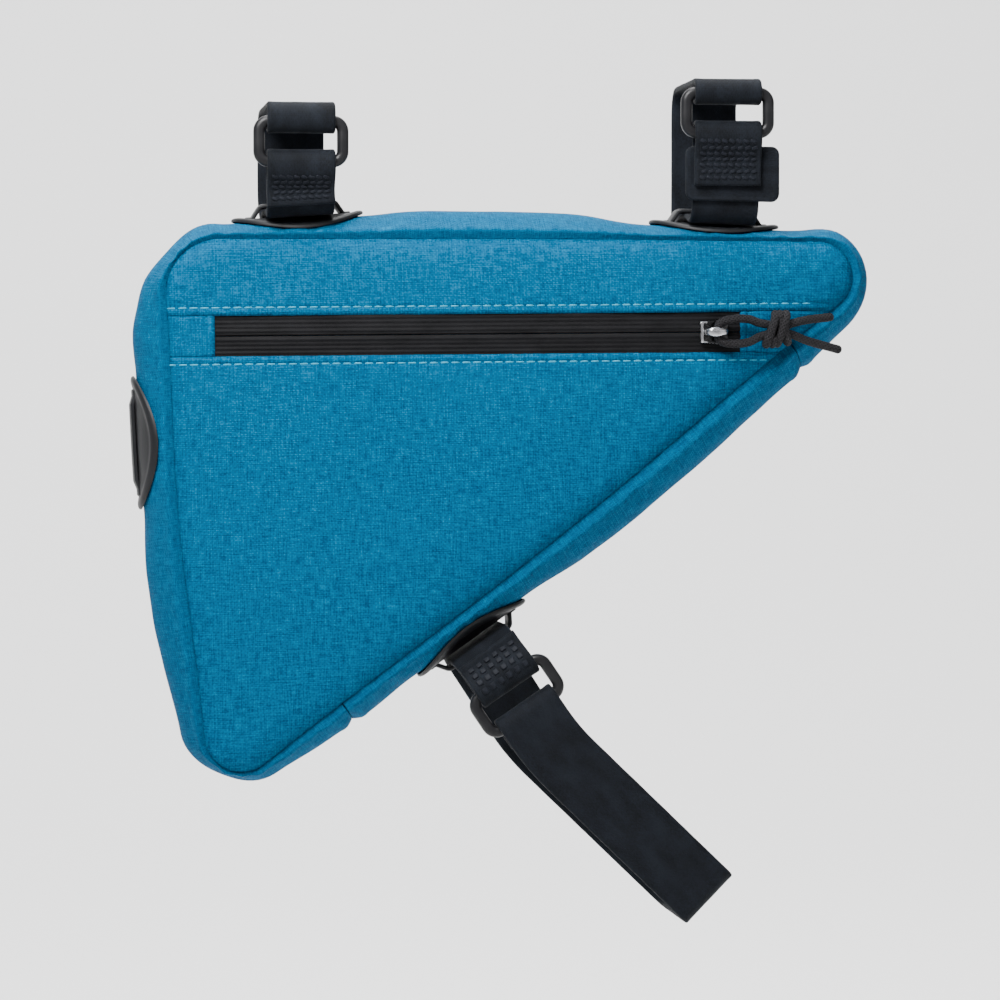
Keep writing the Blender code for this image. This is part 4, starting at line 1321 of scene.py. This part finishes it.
TOP_STRAP = dict(side="top", face=TOP_FACE, back=TOP_FACE, seat_half=SEAT_EDGE, front_flare=3.2,
                 back_flare=3.2, seat_dip=SEAT_DIP, near_heading=90.0, bend=0.0)
STRAPS = (
    dict(TOP_STRAP, name="top_rear", along=STRAP_SETBACK, ring_up=22.5, top_up=33.5, free_up=3.9,
         sewn_up=30.3, keeper=False),
    dict(TOP_STRAP, name="top_front", along=STRAP_SETBACK + STRAP_SPACING, ring_up=33.8, top_up=43.3,
         free_up=12.2, sewn_up=41.0, keeper=True),
    dict(name="down", side="down", along=DOWN_ANCHOR_FROM_TIP, ring_up=20.7, top_up=105.8, free_up=4.4,
         sewn_up=33.0, face=DOWN_RING_FACE, back=DOWN_BACK, seat_half=13.0, front_flare=4.0, back_flare=34.0,
         seat_dip=0.0, near_heading=-56.0, bend=12.0, keeper=False),
)

# Grip dots on each strap: start is their distance from the free end
GRIPS = {
    "top_rear": dict(start=1.0, rows=5, columns=8, pitch=1.8, length=1.75, width=0.85, lean=0.35),
    "top_front": dict(start=1.0, rows=7, columns=8, pitch=1.9, length=1.75, width=0.9, lean=0.35),
    "down": dict(start=1.2, rows=4, columns=6, pitch=2.6, length=1.8, width=1.6, lean=0.0),
}

# The keeper tab's faces from back to front: share of its outline, height
KEEPER_LEVELS = (
    (0.02, 0.05), (0.5, 0.05), (0.93, 0.05), (0.98, 0.15), (1.0, 0.5), (1.0, 0.9), (0.985, 1.25), (0.95, 1.4),
    (0.88, 1.32), (0.84, 1.22), (0.8, 1.3), (0.6, 1.36), (0.3, 1.36), (0.02, 1.36),
)
KEEPER_CORNER = 2.4


def strap_path(row):
    """Path of a strap in its own plane: free end, ring, loop, ring, sewn end.

    A point is its distance from the gusset and its y.
    """
    face = row["face"]
    outer = face + 2 * WRAP
    near = row["ring_up"] - BARS_APART / 2
    far = row["ring_up"] + BARS_APART / 2
    free = face + STRAP + GAP + (KEEPER + GAP if row["keeper"] else 0.0)
    low = SEAT - row["seat_dip"]
    corners = [
        (row["free_up"], -free, 0),
        (near - 2.6 * WRAP, -free, WRAP),
        (near - 0.9 * WRAP, -outer, WRAP),
        (near + WRAP, -outer, WRAP),
        (near + WRAP, -face, WRAP),
        (low + row["front_flare"], -face, SEAT_BEND),
        (low, -row["seat_half"], SEAT_BEND),
    ]
    if row["seat_dip"]:
        clear = BRIDGE_WIDTH / 2 + BRIDGE_CLEAR
        corners += [(SEAT, -clear, 2), (SEAT, clear, 2)]
    corners += [
        (low, row["seat_half"], SEAT_BEND),
        (low + row["back_flare"], row["back"], min(row["back_flare"], BACK_BEND)),
        (row["top_up"], row["back"], TOP_BEND),
        (row["top_up"], -outer, WRAP + GAP),
        (far - WRAP, -outer, WRAP),
        (far - WRAP, -face, WRAP),
        (row["sewn_up"], -face, 0),
    ]
    return fillet_path(corners)


def strap_heading(row, seat_heading, up):
    """Heading of a strap in the X-Z plane: square to its anchor, then straight through the ring, then on."""
    after_ring = row["ring_up"] + BARS_APART / 2 + WRAP + STRAP
    settled = min(max((up - SEAT - STRAP) / SETTLE_LENGTH, 0.0), 1.0)
    bent = min(max((up - after_ring) / BEND_LENGTH, 0.0), 1.0)
    near = math.radians(row["near_heading"])
    return seat_heading + (near - seat_heading) * settled + math.radians(row["bend"]) * bent


def strap_point(row, up, across, y):
    """Point of a strap's frame: up from the gusset along the strap, across its width, and y in space."""
    place = place_at(row["side"], row["along"])
    x, _, z = wall_point(place, 0.0, 0.0)
    ahead = wall_point(place + 0.01, 0.0, 0.0) - wall_point(place - 0.01, 0.0, 0.0)
    seat_heading = math.atan2(ahead.x, -ahead.z)
    for index in range(HEADING_STEPS):
        heading = strap_heading(row, seat_heading, up * (index + 0.5) / HEADING_STEPS)
        x += math.cos(heading) * up / HEADING_STEPS
        z += math.sin(heading) * up / HEADING_STEPS
    heading = strap_heading(row, seat_heading, up)
    return Vector((x + math.sin(heading) * across, y, z - math.cos(heading) * across))


def rounded_rectangle(length, height, radius, steps):
    points = []
    for index, (sx, sz) in enumerate(((1, 1), (-1, 1), (-1, -1), (1, -1))):
        for angle in spread(index * math.pi / 2, (index + 1) * math.pi / 2, steps):
            across = sx * (length / 2 - radius) + radius * math.cos(angle)
            up = sz * (height / 2 - radius) + radius * math.sin(angle)
            points.append((across, up))
    return points


def closed_loop(path, step):
    """Points about a step apart round a closed path."""
    return subdivide(path + path[:1], step)[:-1]


def strap_line(row):
    """Fine middle line of a strap as (up, y, distance along it), and its normals."""
    line = subdivide(strap_path(row), 1.0)
    for _ in range(2):
        line = [line[0]] + [
            ((p[0] + 2 * q[0] + r[0]) / 4, (p[1] + 2 * q[1] + r[1]) / 4)
            for p, q, r in zip(line, line[1:], line[2:])
        ] + [line[-1]]
    run = 0.0
    placed = [(*line[0], 0.0)]
    for before, after in zip(line, line[1:]):
        run += math.hypot(after[0] - before[0], after[1] - before[1])
        placed.append((*after, run))
    return placed, [rotated(*way, math.pi / 2) for way in directions(placed)]


def strap_profile():
    """Cross-section of the webbing as (out, across): flat faces, thicker selvages and rounded edges."""
    half = STRAP_WIDTH / 2
    thick = STRAP / 2
    top = []
    for across in np.linspace(-half + 0.55, half - 0.55, 23):
        selvage = SELVAGE * bell(half - abs(across), 1.0, 0.6)
        top.append((thick * 0.93 + selvage, float(across)))
    edge = []
    for turn in np.linspace(75, -75, EDGE_SIDES):
        angle = math.radians(turn)
        edge.append((thick * 0.9 * math.sin(angle), half - 0.5 + 0.5 * math.cos(angle)))
    bottom = [(-out, across) for out, across in top[::-1]]
    return top + edge + bottom + [(out, -across) for out, across in edge[::-1]]


def strap_spot(row, line, normals, run, across, out):
    """Point on a strap at a distance along it, across it, and out from its middle."""
    after = next((index for index, spot in enumerate(line) if spot[2] > run), len(line))
    index = min(len(line) - 2, max(0, after - 1))
    a, b, low = line[index]
    c, d, high = line[index + 1]
    t = (run - low) / (high - low)
    na, nb = normals[index]
    ma, mb = normals[index + 1]
    na, nb = unit(na + (ma - na) * t, nb + (mb - nb) * t)
    return strap_point(row, a + (c - a) * t + na * out, across, b + (d - b) * t + nb * out)


def add_webbing(surface, row, line, normals):
    """Webbing with selvages, a slight wave along it and closed ends."""
    profile = strap_profile()
    rows = []
    for (up, y, run), (na, nb) in zip(line, normals):
        wave = 0.12 * noise.noise(Vector((run / 9, row["ring_up"], 0.7)))
        narrow = 1 + 0.006 * noise.noise(Vector((run / 7, 0.2, 8.8)))
        ring = []
        for out, across in profile:
            warp = 0.05 * noise.noise(Vector((run / 4, across / 4, 3.1)))
            offset = out + (warp if out > 0 else -warp) + wave * 0.4
            ring.append(strap_point(row, up + na * offset, across * narrow, y + nb * offset))
        rows.append(ring)
    for end, back in ((0, 1), (-1, -2)):
        up, y, _ = line[end]
        na, nb = normals[end]
        tip, inner = [strap_point(row, line[index][0], 0.0, line[index][1]) for index in (end, back)]
        away = (tip - inner).normalized()
        caps = []
        for share, push in STRAP_CAPS:
            narrow = 0.985 + 0.015 * share
            caps.append([
                strap_point(row, up + na * out * share, across * narrow, y + nb * out * share) + away * push
                for out, across in profile
            ])
        rows = caps[::-1] + rows if end == 0 else rows + caps
    around = [0.0]
    for here, there in zip(profile, profile[1:] + profile[:1]):
        around.append(around[-1] + math.dist(here, there))
    runs = [-step for step in CAP_RUNS[::-1]] + [spot[2] for spot in line]
    runs += [line[-1][2] + step for step in CAP_RUNS]
    surface.grid(rows, [[(run, turn) for turn in around] for run in runs], wrap=True)


def add_grips(surface, row, line, normals):
    """Rows of raised grip dots near a strap's free end."""
    grip = GRIPS[row["name"]]
    half_length = grip["length"] / 2
    half_width = grip["width"] / 2
    loop = rounded_loop(((-half_length, -half_width), (half_length, -half_width),
                         (half_length, half_width), (-half_length, half_width)), 0.3, 3)
    for number in range(grip["rows"]):
        run = grip["start"] + (number + 0.5) * grip["pitch"]
        turn = grip["lean"] * ((number % 2) * 2 - 1)
        for column in range(grip["columns"]):
            across = (column - (grip["columns"] - 1) / 2) * (STRAP_WIDTH - 3.0) / grip["columns"] + turn * 0.8

            def place(u, v, lift, across=across, run=run, turn=turn):
                a, b = rotated(u, v, turn)
                return strap_spot(row, line, normals, run + b, across + a, -(STRAP / 2 + lift))

            slab(surface, loop, -0.25, 0.34, 0.2, place, 2, finish=1)


def make_strap(row):
    line, normals = strap_line(row)
    surface = Surface()
    add_webbing(surface, row, line, normals)
    add_grips(surface, row, line, normals)
    surface.build("webbing_" + row["name"], [WEBBING, GRIP], ["strap_" + row["name"]], 55)


def make_ring(row):
    """Smooth moulded ring with a flattened section and soft corners."""
    middle = -(row["face"] + WRAP)
    path = closed_loop(rounded_rectangle(RING_LENGTH - RING_BAR, BARS_APART, RING_CORNER, 9), 1.5)
    section = soft_section(RING_BAR / 2, RING_BAR / 2, 20, 0.85, 0.85)
    rows = []
    runs = [0.0]
    for before, (across, up), after in zip(path[-1:] + path, path, path[1:] + path[:1]):
        na, nu = rotated(*unit(after[0] - before[0], after[1] - before[1]), -math.pi / 2)
        rows.append([
            strap_point(row, row["ring_up"] + up + nu * out, across + na * out, middle + depth)
            for depth, out in section
        ])
        runs.append(runs[-1] + math.hypot(after[0] - across, after[1] - up))
    maps = [[(run, turn * 1.6) for turn in np.linspace(0, math.tau, len(section) + 1)] for run in runs]
    surface = Surface()
    surface.grid(rows + rows[:1], maps, wrap=True)
    name = "ring_" + row["name"]
    surface.build("moulded_" + name, [RING_PLASTIC], [name], 50, 0.001)


def make_keeper(row):
    """Cloth-faced tab behind the front top strap's free end, with a groove along its border."""
    near = -(row["face"] + STRAP / 2 + GAP)
    outline = closed_loop(rounded_rectangle(KEEPER_LENGTH, KEEPER_HEIGHT, KEEPER_CORNER, 7), 1.5)
    rows = []
    maps = []
    for share, lift in KEEPER_LEVELS:
        rows.append([
            strap_point(row, KEEPER_UP + up * share, KEEPER_SHIFT + across * share, near - lift)
            for across, up in outline
        ])
        maps.append([(across * share, up * share) for across, up in outline + outline[:1]])
    surface = Surface()
    surface.grid(rows, maps, wrap=True)
    surface.build("cloth_keeper_tab", [WEBBING], ["keeper_tab"], 55)


def make_all():
    make_front()
    make_back()
    join_tip = place_at("down", JOIN_NEAR_TIP)
    whole_side = side_straight(1) + corner_tangent(1) + corner_tangent(2)
    join_foot = place_at("down", whole_side - JOIN_NEAR_FOOT)
    half_join = GAP / 2 / mm_per_place(1)
    make_gusset("cloth_gusset_down", join_tip + half_join, join_foot - half_join, "gusset_down")
    make_gusset("cloth_gusset_main", join_foot + half_join, join_tip - half_join + 3, "gusset_main")
    make_zip_stitches()
    make_tapes()
    make_slider()
    make_pull()
    for anchor in ANCHORS:
        make_anchor(anchor)
    for row in STRAPS:
        make_strap(row)
        make_ring(row)
        if row["keeper"]:
            make_keeper(row)


make_all()


# Stage, lights and camera, in metres

FLOOR = -0.34
FLOOR_REACH = 14.0
BEND_START = 1.2
BEND = 0.9
WALL_TOP = 4.0
BAG_MIDDLE = (0.0, 0.0, -0.1)
CAMERA_PLACE = (-0.1614, -1.3, -0.0748)
CAMERA_TARGET = (-0.002, 0.0, -0.102)
CAMERA_ANGLE = 13.3
SKY = (0.86, 0.87, 0.89, 1.0)
SKY_STRENGTH = 0.50


def add_object(name, data):
    made = bpy.data.objects.new(name, data)
    bpy.context.scene.collection.objects.link(made)
    return made


def backdrop():
    """Pale floor that curves up into the wall behind."""
    profile = [(-FLOOR_REACH, FLOOR), (BEND_START, FLOOR)]
    for turn in np.linspace(0, math.pi / 2, 14)[1:]:
        profile.append((BEND_START + BEND * math.sin(turn), FLOOR + BEND * (1 - math.cos(turn))))
    profile.append((BEND_START + BEND, WALL_TOP))
    points = []
    faces = []
    for index, (y, z) in enumerate(profile):
        points += [(-FLOOR_REACH, y, z), (FLOOR_REACH, y, z)]
        if index:
            faces.append((2 * index - 2, 2 * index - 1, 2 * index + 1, 2 * index))
    data = bpy.data.meshes.new("backdrop")
    data.from_pydata(points, [], faces)
    data.shade_smooth()
    nodes = Nodes("pale_floor")
    grain = nodes.add("ShaderNodeTexNoise", Scale=9.0).outputs[0]
    nodes.finish(nodes.ramp(grain, ((0.3, (0.83, 0.83, 0.83)), (0.7, (0.85, 0.85, 0.85)))), 0.9)
    data.materials.append(nodes.material)
    made = add_object("backdrop", data)


def aim(thing, place, target):
    thing.location = place
    thing.rotation_euler = (Vector(target) - thing.location).to_track_quat("-Z", "Y").to_euler()


def area_light(name, place, target, size, power, spread_angle=180.0):
    data = bpy.data.lights.new(name, "AREA")
    data.shape = "DISK"
    data.size = size
    data.energy = power
    data.spread = math.radians(spread_angle)
    aim(add_object(name, data), place, target)


def set_up_view():
    backdrop()
    area_light("key", (-0.24, -0.42, 0.40), (-0.04, 0.0, 0.03), 0.36, 3.6, 84.0)
    area_light("fill", (1.4, -1.8, 0.4), BAG_MIDDLE, 1.6, 5.0)
    area_light("top", (0.1, 0.1, 1.8), BAG_MIDDLE, 1.2, 13.0)
    area_light("wall", (0.0, 0.6, 2.2), (0.0, 1.9, 0.2), 1.5, 124.0)
    world = bpy.data.worlds.new("studio")
    world.use_nodes = True
    sky = world.node_tree.nodes["Background"]
    sky.inputs["Color"].default_value = SKY
    sky.inputs["Strength"].default_value = SKY_STRENGTH
    bpy.context.scene.world = world
    data = bpy.data.cameras.new("camera")
    data.angle = math.radians(CAMERA_ANGLE)
    camera = add_object("camera", data)
    aim(camera, CAMERA_PLACE, CAMERA_TARGET)
    bpy.context.scene.camera = camera


set_up_view()
